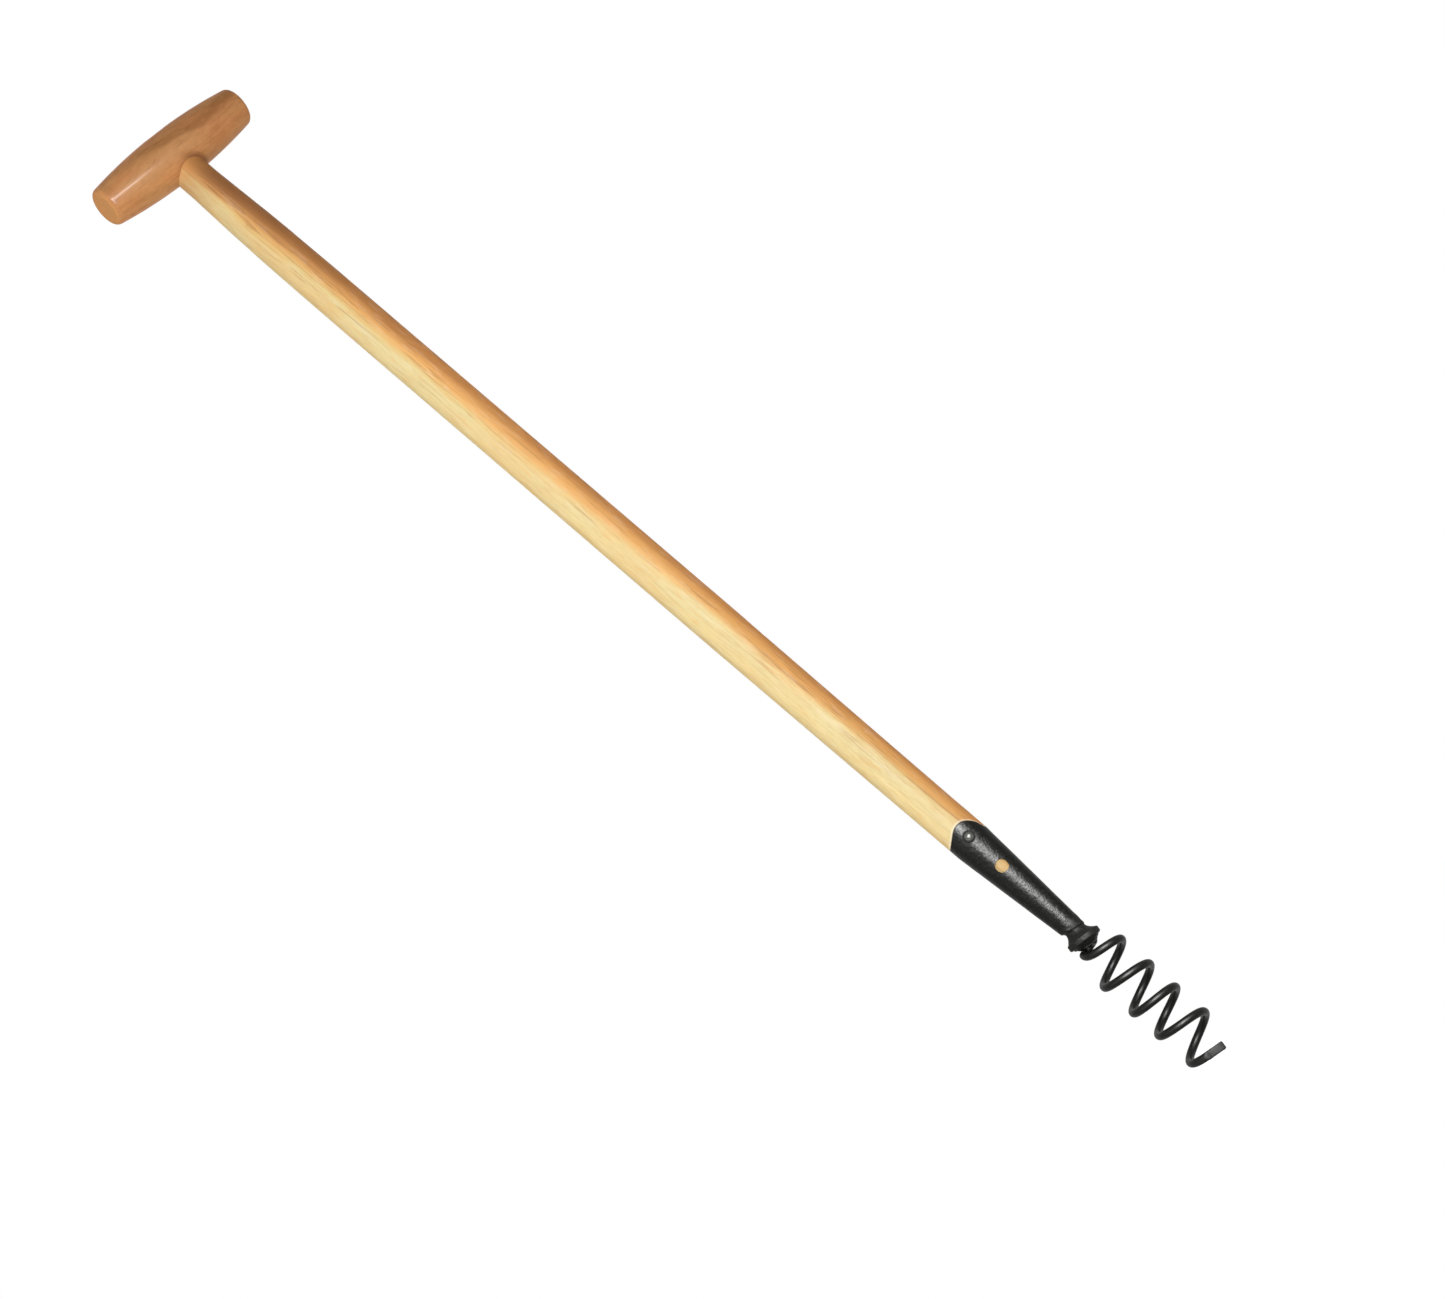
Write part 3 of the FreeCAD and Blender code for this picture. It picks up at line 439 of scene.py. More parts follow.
@dataclass(frozen=True)
class GripWood:
    """Brown lacquered wood with a darker wavy band, and dark lacquer gathered at the shaft with
    painted shadow beside it.

    The band of late wood is lowest right of the shaft, at band_low, and climbs to both ends:
    its height is the root of the distance's square and band_round's, times its slope. A span
    is where a change starts and ends: heights over the band, depths under the end, distances
    from the shaft and places across, all in metres.
    """

    half_length: float
    axis_height: float
    shaft_radius: float
    band_low: float = 0.024
    band_round: float = 0.005
    band_slope: float = 0.17
    band_drop: float = 0.0026
    band_sway: float = 0.010
    band_foot: Span = (-0.0046, -0.0004)
    band_top: Span = (0.0070, 0.0024)
    band_left: Span = (-0.032, -0.012)
    over_band: Span = (-0.002, 0.005)
    right_part: Span = (-0.03, 0.06)
    end_depth: Span = (-0.0012, -0.0002)
    # The pool spans place dark lacquer at the joint and painted shadow beside it, heavier on the
    # right.
    pool_reach: Span = (0.0052, 0.0004)
    pool_depth: float = 0.006
    shadow_right: Span = (-0.008, 0.010)
    light: Colour = (0.550, 0.262, 0.098)
    pink: Colour = (0.560, 0.240, 0.090)
    band: Colour = (0.230, 0.085, 0.024)
    # end is lighter than the barrel to make up for the less light the ends get: painted light
    # over the end grain.
    end: Colour = (0.690, 0.340, 0.125)
    pooled_and_shadow: Colour = (0.170, 0.064, 0.022)

    def material(self) -> bpy.types.Material:
        """The finish as a material.

        Returns:
            The material. Its noises run many times longer along the grip than across it.
        """
        material, nodes = new_material("grip_wood_lacquered")
        place = nodes.place()
        x, y, z = nodes.axes(place)
        cloud = nodes.noise(place, 60.0, 2.0, 0.5, 0.0, (0.30, 1.0, 1.0))
        streak = nodes.noise(place, 300.0, 3.0, 0.62, 0.4, (0.045, 1.0, 1.0))
        fibre = nodes.noise(place, 1300.0, 2.0, 0.6, 0.0, (0.030, 1.0, 1.0))
        mottle = nodes.noise(place, 420.0, 2.0, 0.6, 0.0, (0.35, 1.0, 1.0))
        blotch = nodes.noise(place, 260.0, 3.0, 0.6, 0.3, (0.40, 1.0, 1.0))
        pores = nodes.noise(place, 1500.0, 1.0, 0.5).rise(0.50, 0.70)
        aside = x - self.band_low
        middle = ((aside * aside + self.band_round ** 2).root() * self.band_slope
                  - self.band_drop)
        over = z - self.axis_height - middle + (cloud - 0.5) * self.band_sway
        belt = over.rise(*self.band_foot) * over.rise(*self.band_top)
        grain = (fibre - 0.5) * 0.32 + (mottle - 0.5) * 0.52 + 0.03
        end = abs(x).rise(*(self.half_length + depth for depth in self.end_depth))
        away = (x * x + y * y).root() - self.shaft_radius
        below = z.rise(self.axis_height, self.axis_height - self.pool_depth)
        # Dark lacquer in the joint all round, with painted shadow beside the shaft, heavier on
        # its right side.
        pool_and_shadow = away.rise(*self.pool_reach) * below
        right = (x * 0.9 - y * 0.2).rise(*self.shadow_right)
        colour = nodes.layers(
            nodes.mix(cloud.rise(0.40, 0.62), self.light, self.pink),
            (over.rise(*self.over_band) * 0.20, self.band),
            (belt * (x.rise(*self.band_left) * 0.36 + 0.08), self.band),
            (x.rise(*self.right_part) * 0.10, self.band),
            (streak.rise(0.50, 0.72) * 0.24, self.band),
            (grain.most(0.0), self.band),
            (blotch.rise(0.50, 0.68) * 0.16, self.band),
            (blotch.rise(0.47, 0.34) * 0.18, self.end),
            # The ends take the lighter end tone: painted light, with the end grain's pores over
            # it.
            (end * 0.55, self.end),
            (end * pores * 0.22, self.band),
            (pool_and_shadow * (0.10 + right * 0.60), self.pooled_and_shadow))
        rough = 0.40 + (streak - 0.5) * 0.20 + end * 0.40
        height = fibre * 0.00003 + streak * 0.00006
        nodes.shader(colour, rough, height, 0.6,
                     {"Coat Weight": 0.06 - end * 0.06, "Coat Roughness": 0.16,
                      "Coat IOR": 1.45, "Specular IOR Level": 1.0, "IOR": WOOD_INDEX})
        return material


@dataclass(frozen=True)
class WedgeWood:
    """Darker hardwood of the wedge, lacquered over with the grip."""

    light: Colour = (0.230, 0.105, 0.045)
    dark: Colour = (0.120, 0.050, 0.022)

    def material(self) -> bpy.types.Material:
        """The finish as a material.

        Returns:
            The material.
        """
        material, nodes = new_material("wedge_wood_lacquered")
        fibre = nodes.noise(nodes.place(), 1400.0, 3.0, 0.6, 0.0, (1.0, 0.30, 0.30))
        colour = nodes.mix(fibre.rise(0.35, 0.65), self.light, self.dark)
        nodes.shader(colour, 0.34 + fibre * 0.1, fibre * 0.00003, 0.5,
                     {"Coat Weight": 0.05, "Coat Roughness": 0.20,
                      "Specular IOR Level": 1.0, "IOR": WOOD_INDEX})
        return material


@dataclass(frozen=True)
class BlackCoat:
    """Black coating on steel: mottled, half glossy, with fine grey flecks.

    Grain is in flecks a metre and relief in metres. Places, where it is given, says by place
    how much worn colour and how much roughness is added.
    """

    name: str
    black: Colour = (0.0012, 0.0012, 0.0005)
    worn: Colour = (0.060, 0.060, 0.056)
    mottle: float = 0.5
    roughness: float = 0.36
    grain: float = 900.0
    relief: float = 0.00006
    gloss: float = 0.46
    index: float = 1.2
    places: "Callable[[NodeMaker, Field], tuple[Field, Field]] | None" = None

    def material(self) -> bpy.types.Material:
        """The finish as a material.

        Returns:
            The material.
        """
        material, nodes = new_material(self.name)
        place = nodes.place()
        cloud = nodes.noise(place, 170.0, 3.0, 0.6)
        speck = nodes.noise(place, self.grain, 3.0, 0.65)
        lump = nodes.noise(place, self.grain * 0.45, 2.0, 0.5)
        shade = speck.rise(0.52, 0.85) * (0.22 * self.mottle)
        rough = self.roughness + (speck - 0.5) * (0.50 * self.mottle) + (cloud - 0.5) * 0.14
        if self.places:
            wear, matt = self.places(nodes, place)
            shade = shade + wear
            rough = rough + matt
        colour = nodes.mix(shade.least(1.0), self.black, self.worn)
        height = speck * self.relief + lump * (self.relief * 2.0)
        nodes.shader(colour, rough, height, 0.8,
                     {"Specular IOR Level": self.gloss, "IOR": self.index})
        return material


# Surfaces


def smooth(u: Array) -> Array:
    """Smooth step: three u squared less two u cubed, with u held between 0 and 1."""
    u = np.clip(u, 0.0, 1.0)
    return u * u * (3.0 - 2.0 * u)


def lumps(*waves: tuple[Array, float]) -> Array:
    """Mean of sines of angles, each with its own shift: a mild unevenness from -1 to 1."""
    return sum(np.sin(angle + shift) for angle, shift in waves) / len(waves)


def closed_tube(rings: Array, poles: Array) -> tuple[Array, Array, list[tuple[int, Array]]]:
    """Points and faces of a tube that a fan closes at each end.

    Args:
        rings: Points of shape (rings, columns, 3), counter-clockwise seen from the last ring.
        poles: The middle points of the first and the last ring's fans.

    Returns:
        Points, one a row; four point numbers a face, where point (i, j) joins (i, j + 1) and
        (i + 1, j), which turns the faces outwards; and each pole's number with its ring.
    """
    rows, columns, _ = rings.shape
    points = np.concatenate([rings.reshape(-1, 3), poles])
    i, j = np.meshgrid(np.arange(rows - 1), np.arange(columns), indexing="ij")
    k = (j + 1) % columns
    corners = (i * columns + j, i * columns + k, (i + 1) * columns + k, (i + 1) * columns + j)
    ring = np.arange(columns)
    fans = [(len(points) - 2, ring),
            (len(points) - 1, ((rows - 1) * columns + ring)[::-1])]
    return points, np.stack(corners, -1).reshape(-1, 4), fans


def make_piece(name: str, points: Array, quads: Array, fans: Sequence[tuple[int, Array]] = (),
               sharp_angle: float | None = None) -> bpy.types.Object:
    """A mesh object from whole arrays of points and faces, smooth shaded.

    Args:
        name: Name of the piece.
        points: Points in metres, one a row.
        quads: Four point numbers a face.
        fans: Pairs of a pole's point number and the ring that it closes, in turning order.
        sharp_angle: Angle in radians over which an edge stays sharp.

    Returns:
        The object, linked to the scene.
    """
    closed = [np.stack([np.roll(ring, -1), ring, np.full_like(ring, pole)], -1)
              for pole, ring in fans]
    triangles = np.concatenate(closed) if closed else np.zeros((0, 3), int)
    loops = np.concatenate([quads.ravel(), triangles.ravel()]).astype(np.int32)
    sizes = np.concatenate([np.full(len(quads), 4), np.full(len(triangles), 3)])
    starts = np.concatenate([[0], np.cumsum(sizes)[:-1]]).astype(np.int32)
    mesh = bpy.data.meshes.new(name)
    mesh.vertices.add(len(points))
    mesh.vertices.foreach_set("co", np.ascontiguousarray(points, np.float32).ravel())
    mesh.loops.add(len(loops))
    mesh.loops.foreach_set("vertex_index", loops)
    mesh.polygons.add(len(sizes))
    mesh.polygons.foreach_set("loop_start", starts)
    mesh.update(calc_edges=True)
    mesh.validate()
    mesh.polygons.foreach_set("use_smooth", np.ones(len(mesh.polygons), bool))
    if sharp_angle is not None:
        mesh.set_sharp_from_angle(angle=sharp_angle)
    piece = bpy.data.objects.new(name, mesh)
    bpy.context.scene.collection.objects.link(piece)
    return piece


def dress(piece: bpy.types.Object, material: bpy.types.Material) -> None:
    """Give a piece one material in all its slots.

    Args:
        piece: A new piece without slots, or a solid's node with its own.
        material: The material.
    """
    if not piece.data.materials:
        piece.data.materials.append(material)
    for number in range(len(piece.data.materials)):
        piece.data.materials[number] = material


# Places that the metal's pieces share


@dataclass(frozen=True)
class MetalFrame:
    """Frame of socket, rivet and coil, turned clockwise from the tool's about Z."""

    turn_degrees: float = 20.0

    @property
    def turn(self) -> float:
        """The turn in radians."""
        return np.radians(self.turn_degrees)

    def to_tool(self, points: Array) -> Array:
        """Points in millimetres in the metal's frame to metres in the tool's.

        Args:
            points: Array whose last axis is x, y, z.

        Returns:
            Array of the same shape.
        """
        c, s = np.cos(self.turn), np.sin(self.turn)
        x, y, z = np.moveaxis(points, -1, 0)
        return np.stack([x * c + y * s, y * c - x * s, z], -1) * MM

    def off_axis(self, nodes: NodeMaker, place: Field, height: float) -> Field:
        """Distance from a level axis that runs through the metal from front to back.

        Args:
            nodes: Maker of the material's nodes.
            place: Object coordinates.
            height: Height of the axis in millimetres.

        Returns:
            The distance in millimetres.
        """
        across, _, up = nodes.axes(nodes.moved(place, turn=self.turn))
        across = across * PER_METRE
        over = up * PER_METRE - height
        return (across * across + over * over).root()


@dataclass(frozen=True)
class Collar:
    """The collar's lower face, which sits askew: where it is and how it leans."""

    face: float = 117.841
    tilt_degrees: float = 12.0
    shift: float = 0.8

    def lean(self, x: Array, y: Array, up: Array) -> Array:
        """Points given in the leaning face's own frame.

        Args:
            x: Places across the face.
            y: Places from front to back.
            up: Heights over the face, square to it.

        Returns:
            Points in the metal's frame: x and up turned by the tilt, with the face's middle
            shifted to the left.
        """
        a = np.radians(self.tilt_degrees)
        x, y, up = np.broadcast_arrays(x, y, up)
        return np.stack([-self.shift + x * np.cos(a) + up * np.sin(a), y,
                         self.face + up * np.cos(a) - x * np.sin(a)], -1)


@dataclass
class MetalPart:
    """A part of the metal: its frame, the collar's place, and how its surface is handed in."""

    metal: MetalFrame = MetalFrame()
    collar: Collar = Collar()

    def stand_in(self, name: str, tube: tuple, sharp_degrees: float, coat: BlackCoat,
                 node: str, slot: str) -> Pieces:
        """Make a piece of a closed tube, dress it, and let it stand for a node.

        Args:
            name: Name of the piece.
            tube: Points in the metal's frame, faces and fans.
            sharp_degrees: Angle over which an edge stays sharp.
            coat: Finish of the piece.
            node: Name of the node that it replaces.
            slot: Name of the node's material slot; not used.

        Returns:
            The piece, which rides on the tool's body.
        """
        points, faces, fans = tube
        piece = make_piece(name, self.metal.to_tool(points), faces, fans,
                           np.radians(sharp_degrees))
        dress(piece, coat.material())
        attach(piece, "root")
        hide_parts(node)
        return [piece]


@dataclass(frozen=True)
class Rim:
    """The socket's rim: depths under the tongue's crest over its width, on both faces."""

    crest: float = 235.73
    radius: float = 14.6
    left_width: float = 5.11
    left_rise: float = 1.368
    left_drop: float = 7.2
    right_width: float = 5.548
    right_rise: float = 1.2325
    end_width: float = 13.14
    right_drop: float = 14.5
    crest_bulge: float = 0.24
    shoulder_bulge: float = 0.236

    @staticmethod
    def _arc(x: Array, start: Span, end: Span, bulge: float) -> Array:
        """Depth of an arc over a chord.

        Args:
            x: Places across.
            start: Width and depth of the left end.
            end: Width and depth of the right end.
            bulge: Tangent of a quarter of the arc's turn; the arc stands above the chord.

        Returns:
            Depth at each place: the centre's depth less the height of the circle over it.
        """
        chord = np.array(end) - np.array(start)
        length = np.hypot(*chord)
        radius = length * (1.0 + bulge ** 2) / (4.0 * bulge)
        inward = np.array([-chord[1], chord[0]]) / length
        middle = (np.array(start) + np.array(end)) / 2.0
        centre = middle + inward * (radius - length * bulge / 2.0)
        return centre[1] - np.sqrt(np.maximum(radius ** 2 - (x - centre[0]) ** 2, 0.0))

    def drop(self, x: Array) -> Array:
        """Depth of the rim under the crest.

        Args:
            x: Places across, in millimetres, minus at the left.

        Returns:
            A straight slope at the left, an arc over the crest, a steeper arc at the right
            and a level end.
        """
        slope = self.left_rise + (-x - self.left_width) * (
            (self.left_drop - self.left_rise) / (self.radius - self.left_width))
        top = self._arc(x, (-self.left_width, self.left_rise),
                        (self.right_width, self.right_rise), self.crest_bulge)
        shoulder = self._arc(x, (self.right_width, self.right_rise),
                             (self.end_width, self.right_drop), self.shoulder_bulge)
        return np.select([x < -self.left_width, x < self.right_width, x < self.end_width],
                         [slope, top, np.minimum(shoulder, self.right_drop)], self.right_drop)


# Handle


@dataclass
class Handle:
    """Cross grip, shaft and tenon wedge: the solids keep their shapes and get their woods."""

    grip_half_length: float = 0.0675
    grip_axis_height: float = 0.9955
    tenon_radius: float = 0.0133
    shoulder: Span = (8.0, 9.0)
    stops: int = 14
    rim: Rim = Rim()
    metal: MetalFrame = MetalFrame()

    def build(self) -> Pieces:
        """Dress the three wooden solids.

        Returns:
            Their nodes.
        """
        # Two runs of stops, with a gap at the rim's shoulder; a ramp holds 32 at most.
        left, right = self.shoulder
        widths = np.concatenate([np.linspace(-self.rim.radius, left, self.stops),
                                 np.linspace(right, self.rim.radius, self.stops)])
        line = RimLine(turn=self.metal.turn, radius=self.rim.radius * MM,
                       crest=self.rim.crest * MM, widths=tuple(widths * MM),
                       drops=tuple(self.rim.drop(widths) * MM))
        _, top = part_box("shaft")
        finishes = {"shaft": ShaftWood(rim=line, top=top.z),
                    "cross_grip": GripWood(self.grip_half_length, self.grip_axis_height,
                                           self.tenon_radius),
                    "tenon_wedge": WedgeWood()}
        for node, finish in finishes.items():
            dress(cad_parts[node], finish.material())
        return [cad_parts[node] for node in finishes]


# Socket and rivet


@dataclass
class Socket(MetalPart):
    """Forged socket: thin walled cylinder and cone, leaning neck, flare and collar.

    The neck's rows are x shift, height over the collar's face, tilt in degrees and radius.
    Sizes are in millimetres, but front and foot_matt are in metres: a span is where a change
    of the finish starts and ends.
    """

    rim: Rim = Rim()
    rim_radius: float = 14.6
    wall: float = 1.9
    foot_rise: float = 16.6
    foot_radius: float = 8.9
    cone_length: float = 86.1
    floor_rise: float = 25.1
    collar_radius: float = 12.7
    collar_thickness: float = 4.8
    collar_round: float = 1.3
    neck: tuple[tuple[float, ...], ...] = (
        (0.10, 7.0, 13.8, 9.3),
        (0.40, 9.8, 16.8, 7.6),
        (0.00, 12.3, 18.0, 8.85),
    )
    cup_radius: float = 10.3
    cup_depth: float = 1.8
    window_radius: float = 4.8
    window_drop: float = 41.3
    rivet_drop: float = 11.4
    mild: float = 0.05
    coarse: float = 0.30
    calm_rise: float = 10.0
    calm_length: float = 14.0
    level_gap: float = 0.5
    window_wear: Span = (0.5, 0.1)
    rivet_matt: Span = (4.9, 4.1)
    front: Span = (0.004, -0.004)
    foot_matt: Span = (0.138, 0.130)
    columns: int = 208
    cone_rings: int = 122
    rim_rings: int = 34
    edge_round: float = 0.32
    edge_rings: int = 5

    @property
    def foot(self) -> float:
        """Height of the cone's level foot."""
        return self.collar.face + self.foot_rise

    def leaning_rows(self) -> Array:
        """Leaning rings from the collar's face up to the cone's level foot.

        Returns:
            Rows of x shift, height, tilt in degrees and radius: two quarter circles round
            the collar's edges, a cubic of each number through the neck's rows, and a
            straight run to the foot.
        """
        t = np.linspace(0.0, np.pi / 2.0, 6)
        turned = self.collar_round * (1.0 - np.cos(t))
        up = np.concatenate([turned, self.collar_thickness - self.collar_round
                             + self.collar_round * np.sin(t)])
        radius = self.collar_radius - np.concatenate(
            [self.collar_round * (1.0 - np.sin(t)), turned])
        x, _, z = self.collar.lean(0.0, 0.0, up).T
        edge = np.stack([x, z, np.full_like(up, self.collar.tilt_degrees), radius], -1)
        lifted = np.array(self.neck) + (0.0, self.collar.face, 0.0, 0.0)
        knots = np.concatenate([edge[-1:], lifted])
        t = np.linspace(0.0, 3.0, 30)[1:]
        flow = np.stack([self._through(t, knots[:, k]) for k in range(4)], -1)
        step = np.array([0.0, self.foot, 0.0, self.foot_radius]) - flow[-1]
        last = flow[-1] + step * np.linspace(0.0, 1.0, 8)[1:, None]
        return np.concatenate([edge, flow, last])

    @staticmethod
    def _through(t: Array, values: Array) -> Array:
        """Cubic through four values at 0, 1, 2 and 3.

        Args:
            t: Places to work out.
            values: The four values.

        Returns:
            The sum of the values, each times the product of (t - j) / (i - j) over the
            other three places j, which is 1 at its own place i and 0 at the others.
        """
        total = np.zeros_like(t)
        for i, value in enumerate(values):
            others = [j for j in range(4) if j != i]
            total = total + value * np.prod([(t - j) / (i - j) for j in others], axis=0)
        return total

    def radius_at(self, z: Array) -> Array:
        """Outer radius of cone and cylinder at a height: straight, then constant."""
        share = np.clip((z - self.foot) / self.cone_length, 0.0, 1.0)
        return self.foot_radius + (self.rim_radius - self.foot_radius) * share

    def forge(self, theta: Array, z: Array) -> Array:
        """Unevenness of the forged steel, outwards in millimetres.

        Args:
            theta: Angle round the axis.
            z: Height.

        Returns:
            A mean of slow sines of angle and height, strongest from the neck to the collar.
        """
        low = 1.0 - smooth((z - (self.collar.face + self.calm_rise)) / self.calm_length)
        mild = lumps((3 * theta + z * 0.11, 0.4), (2 * theta - z * 0.07, 2.1),
                     (5 * theta + z * 0.23, 1.0))
        coarse = lumps((4 * theta + z * 0.8, 0.2), (7 * theta - z * 0.55, 1.7),
                       (3 * theta + z * 1.3, 2.9), (11 * theta + z * 0.9, 0.6))
        return self.mild * mild + self.coarse * low * coarse

    def lower_rings(self, theta: Array) -> Array:
        """Rings from the middle of the cup under the collar up to the cone's foot.

        Args:
            theta: Angle of each column.

        Returns:
            Points of shape (rings, columns, 3): the cup's floor and wall, square to the
            leaning face, then circles that lean by their own tilt.
        """
        r, up = np.array([(POLE_RADIUS, self.cup_depth), (self.cup_radius, self.cup_depth),
                          (self.cup_radius, 0.0)]).T[..., None]
        cup = self.collar.lean(r * np.cos(theta), r * np.sin(theta), up)
        shift, height, tilt, radius = self.leaning_rows().T[..., None]
        lean = np.radians(tilt)
        r = radius + self.forge(theta[None], height) * smooth(
            (height - self.collar.face + 1.5) / 2.0)
        outside = np.stack([shift + r * np.cos(theta) * np.cos(lean),
                            r * np.sin(theta) + 0 * shift,
                            height - r * np.cos(theta) * np.sin(lean)], -1)
        return np.concatenate([cup, outside])

    def wall_rings(self, theta: Array) -> tuple[Array, int]:
        """Rings from the cone's foot up the outside, over the rim and down the bore.

        Args:
            theta: Angle of each column.

        Returns:
            Points of shape (rings, columns, 3) and the number of the outside's rings. The
            rings are level up to just under the cylinder and share out the height to the
            rim from there on; two quarter circles round the rim's edges; the bore's rings
            mirror the outside's.
        """
        lower = self.foot + self.cone_length - self.level_gap
        level = np.linspace(self.foot, lower, self.cone_rings)[1:, None] + 0 * theta
        rim = (self.rim.crest - self.rim.drop(self.rim_radius * np.cos(theta))
               - self.edge_round)
        upper = lower + (rim - lower) * np.linspace(0.0, 1.0, self.rim_rings)[1:, None]
        z_outer = np.concatenate([level, upper])
        r_outer = self.radius_at(z_outer) + self.forge(theta, z_outer) * (
            1.0 - smooth((z_outer - rim + 5.0) / 4.0))
        bend = np.linspace(0.0, np.pi / 2.0, self.edge_rings + 1)[1:, None]
        z_edge = rim + self.edge_round * np.sin(bend)
        r_edge = self.rim_radius - self.edge_round * (1.0 - np.cos(bend)) + 0 * theta
        z_in = rim + self.edge_round * np.cos(bend - bend[0])
        r_in = self.rim_radius - self.wall + self.edge_round * (1.0 - np.sin(bend)) + 0 * theta
        floor = self.collar.face + self.floor_rise
        z_bore = z_outer[::-1]
        z_bore = z_bore[z_bore[:, 0] > floor]
        r_bore = self.radius_at(z_bore) - self.wall
        z_floor = np.full((1, self.columns), floor)
        z = np.concatenate([z_outer, z_edge, z_in, z_bore, z_floor, z_floor])
        r = np.concatenate([r_outer, r_edge, r_in, r_bore, r_bore[-1:],
                            0 * z_floor + POLE_RADIUS])
        return np.stack([r * np.cos(theta), r * np.sin(theta), z], -1), len(z_outer)

    def window(self, points: Array, faces: Array, first: int, last: int) -> Array:
        """Cut the round window through the wall, and close its edge between the two faces.

        Args:
            points: The points in the metal's frame; those on the border move onto it.
            faces: Faces of the grid of rings, in order.
            first: First ring of the cone's outside.
            last: Last ring of the cylinder's outside.

        Returns:
            The faces that stay and those of the window's edge. Outer faces whose middles lie
            inside the circle go, and with them the bore's faces behind them, which lie in
            mirrored rings.
        """
        mirror = 2 * last + 2 * self.edge_rings + 1
        centre = self.rim.crest - self.window_drop
        middles = points[faces].mean(1)
        row = faces[:, 0] // self.columns
        near = np.hypot(middles[:, 0], middles[:, 2] - centre) < self.window_radius
        outer = near & (middles[:, 1] < 0) & (row >= first) & (row < last)
        cut = outer.reshape(-1, self.columns)
        holed = np.flatnonzero(cut.any(axis=1))
        cut[mirror - 1 - holed] |= cut[holed]
        gone = cut.ravel()
        sides = np.stack([faces[outer], np.roll(faces[outer], -1, axis=1)], -1).reshape(-1, 2)
        code = sides @ [len(points), 1]
        border = sides[~np.isin(code, sides[:, ::-1] @ [len(points), 1])]
        start, end = border.T
        behind = (mirror - border // self.columns) * self.columns + border % self.columns
        x, z = points[start, 0], points[start, 2] - centre
        pull = self.window_radius / np.hypot(x, z)
        for side in (start, behind[:, 0]):
            span = np.hypot(points[side, 0], points[side, 1])
            points[side] = np.stack([x * pull, -np.sqrt(span ** 2 - (x * pull) ** 2),
                                     centre + z * pull], -1)
        edge = np.stack([start, end, behind[:, 1], behind[:, 0]], -1)
        return np.concatenate([faces[~gone], edge])

    def build(self) -> Pieces:
        """Make the socket's surface and dress it.

        Returns:
            The piece.
        """
        theta = TAU * np.arange(self.columns) / self.columns
        lower = self.lower_rings(theta)
        wall, outside = self.wall_rings(theta)
        poles = np.array([self.collar.lean(0.0, 0.0, self.cup_depth),
                          (0.0, 0.0, self.collar.face + self.floor_rise)])
        points, faces, fans = closed_tube(np.concatenate([lower, wall]), poles)
        faces = self.window(points, faces, len(lower), len(lower) + outside - 1)
        coat = BlackCoat("black_coat_socket", mottle=1.1, roughness=0.39, grain=720.0,
                         relief=0.00019, places=self.wear)
        return self.stand_in("socket_forged", (points, faces, fans), 50.0, coat,
                             "socket", "black_steel")

    def wear(self, nodes: NodeMaker, place: Field) -> tuple[Field, Field]:
        """Wear in a thin ring round the window; matt steel round the rivet and low down.

        Args:
            nodes: Maker of the material's nodes.
            place: Object coordinates.

        Returns:
            Share of worn colour, and what is added to the roughness.
        """
        _, deep, up = nodes.axes(nodes.moved(place, turn=self.metal.turn))
        away = self.metal.off_axis(nodes, place, self.rim.crest - self.window_drop)
        apart = self.metal.off_axis(nodes, place, self.rim.crest - self.rivet_drop)
        ring = away.rise(*(self.window_radius + past for past in self.window_wear))
        matt = apart.rise(*self.rivet_matt) * 0.6 + up.rise(*self.foot_matt) * 0.24
        return ring * deep.rise(*self.front) * 0.12, matt


@dataclass
class SocketRivet(MetalPart):
    """Rivet through socket and spigot: the solid keeps its shape, grey on its domes from wear
    and painted sheen.
    """

    height: float = 224.33
    head_radius: float = 3.9
    worn_sheen: Span = (0.88, 0.66)

    def build(self) -> Pieces:
        """Dress the rivet.

        Returns:
            Its node.
        """
        coat = BlackCoat("worn_sheen_coat_rivet", worn=(0.11, 0.11, 0.095), roughness=0.29,
                         relief=0.00003, gloss=0.73, places=self.wear)
        dress(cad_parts["socket_rivet"], coat.material())
        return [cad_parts["socket_rivet"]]

    def wear(self, nodes: NodeMaker, place: Field) -> tuple[Field, Field]:
        """Wear and painted sheen over the dome's middle, and matt grime round its edge.

        Args:
            nodes: Maker of the material's nodes.
            place: Object coordinates.

        Returns:
            Share of worn colour, and what is added to the roughness.
        """
        away = self.metal.off_axis(nodes, place, self.height)
        # A grey disc over the dome's middle: wear, and painted sheen where the dome faces the
        # light.
        worn = away.rise(*(self.head_radius * share for share in self.worn_sheen))
        return worn, (1.0 - worn) * 0.6


# Coiled rod and weld


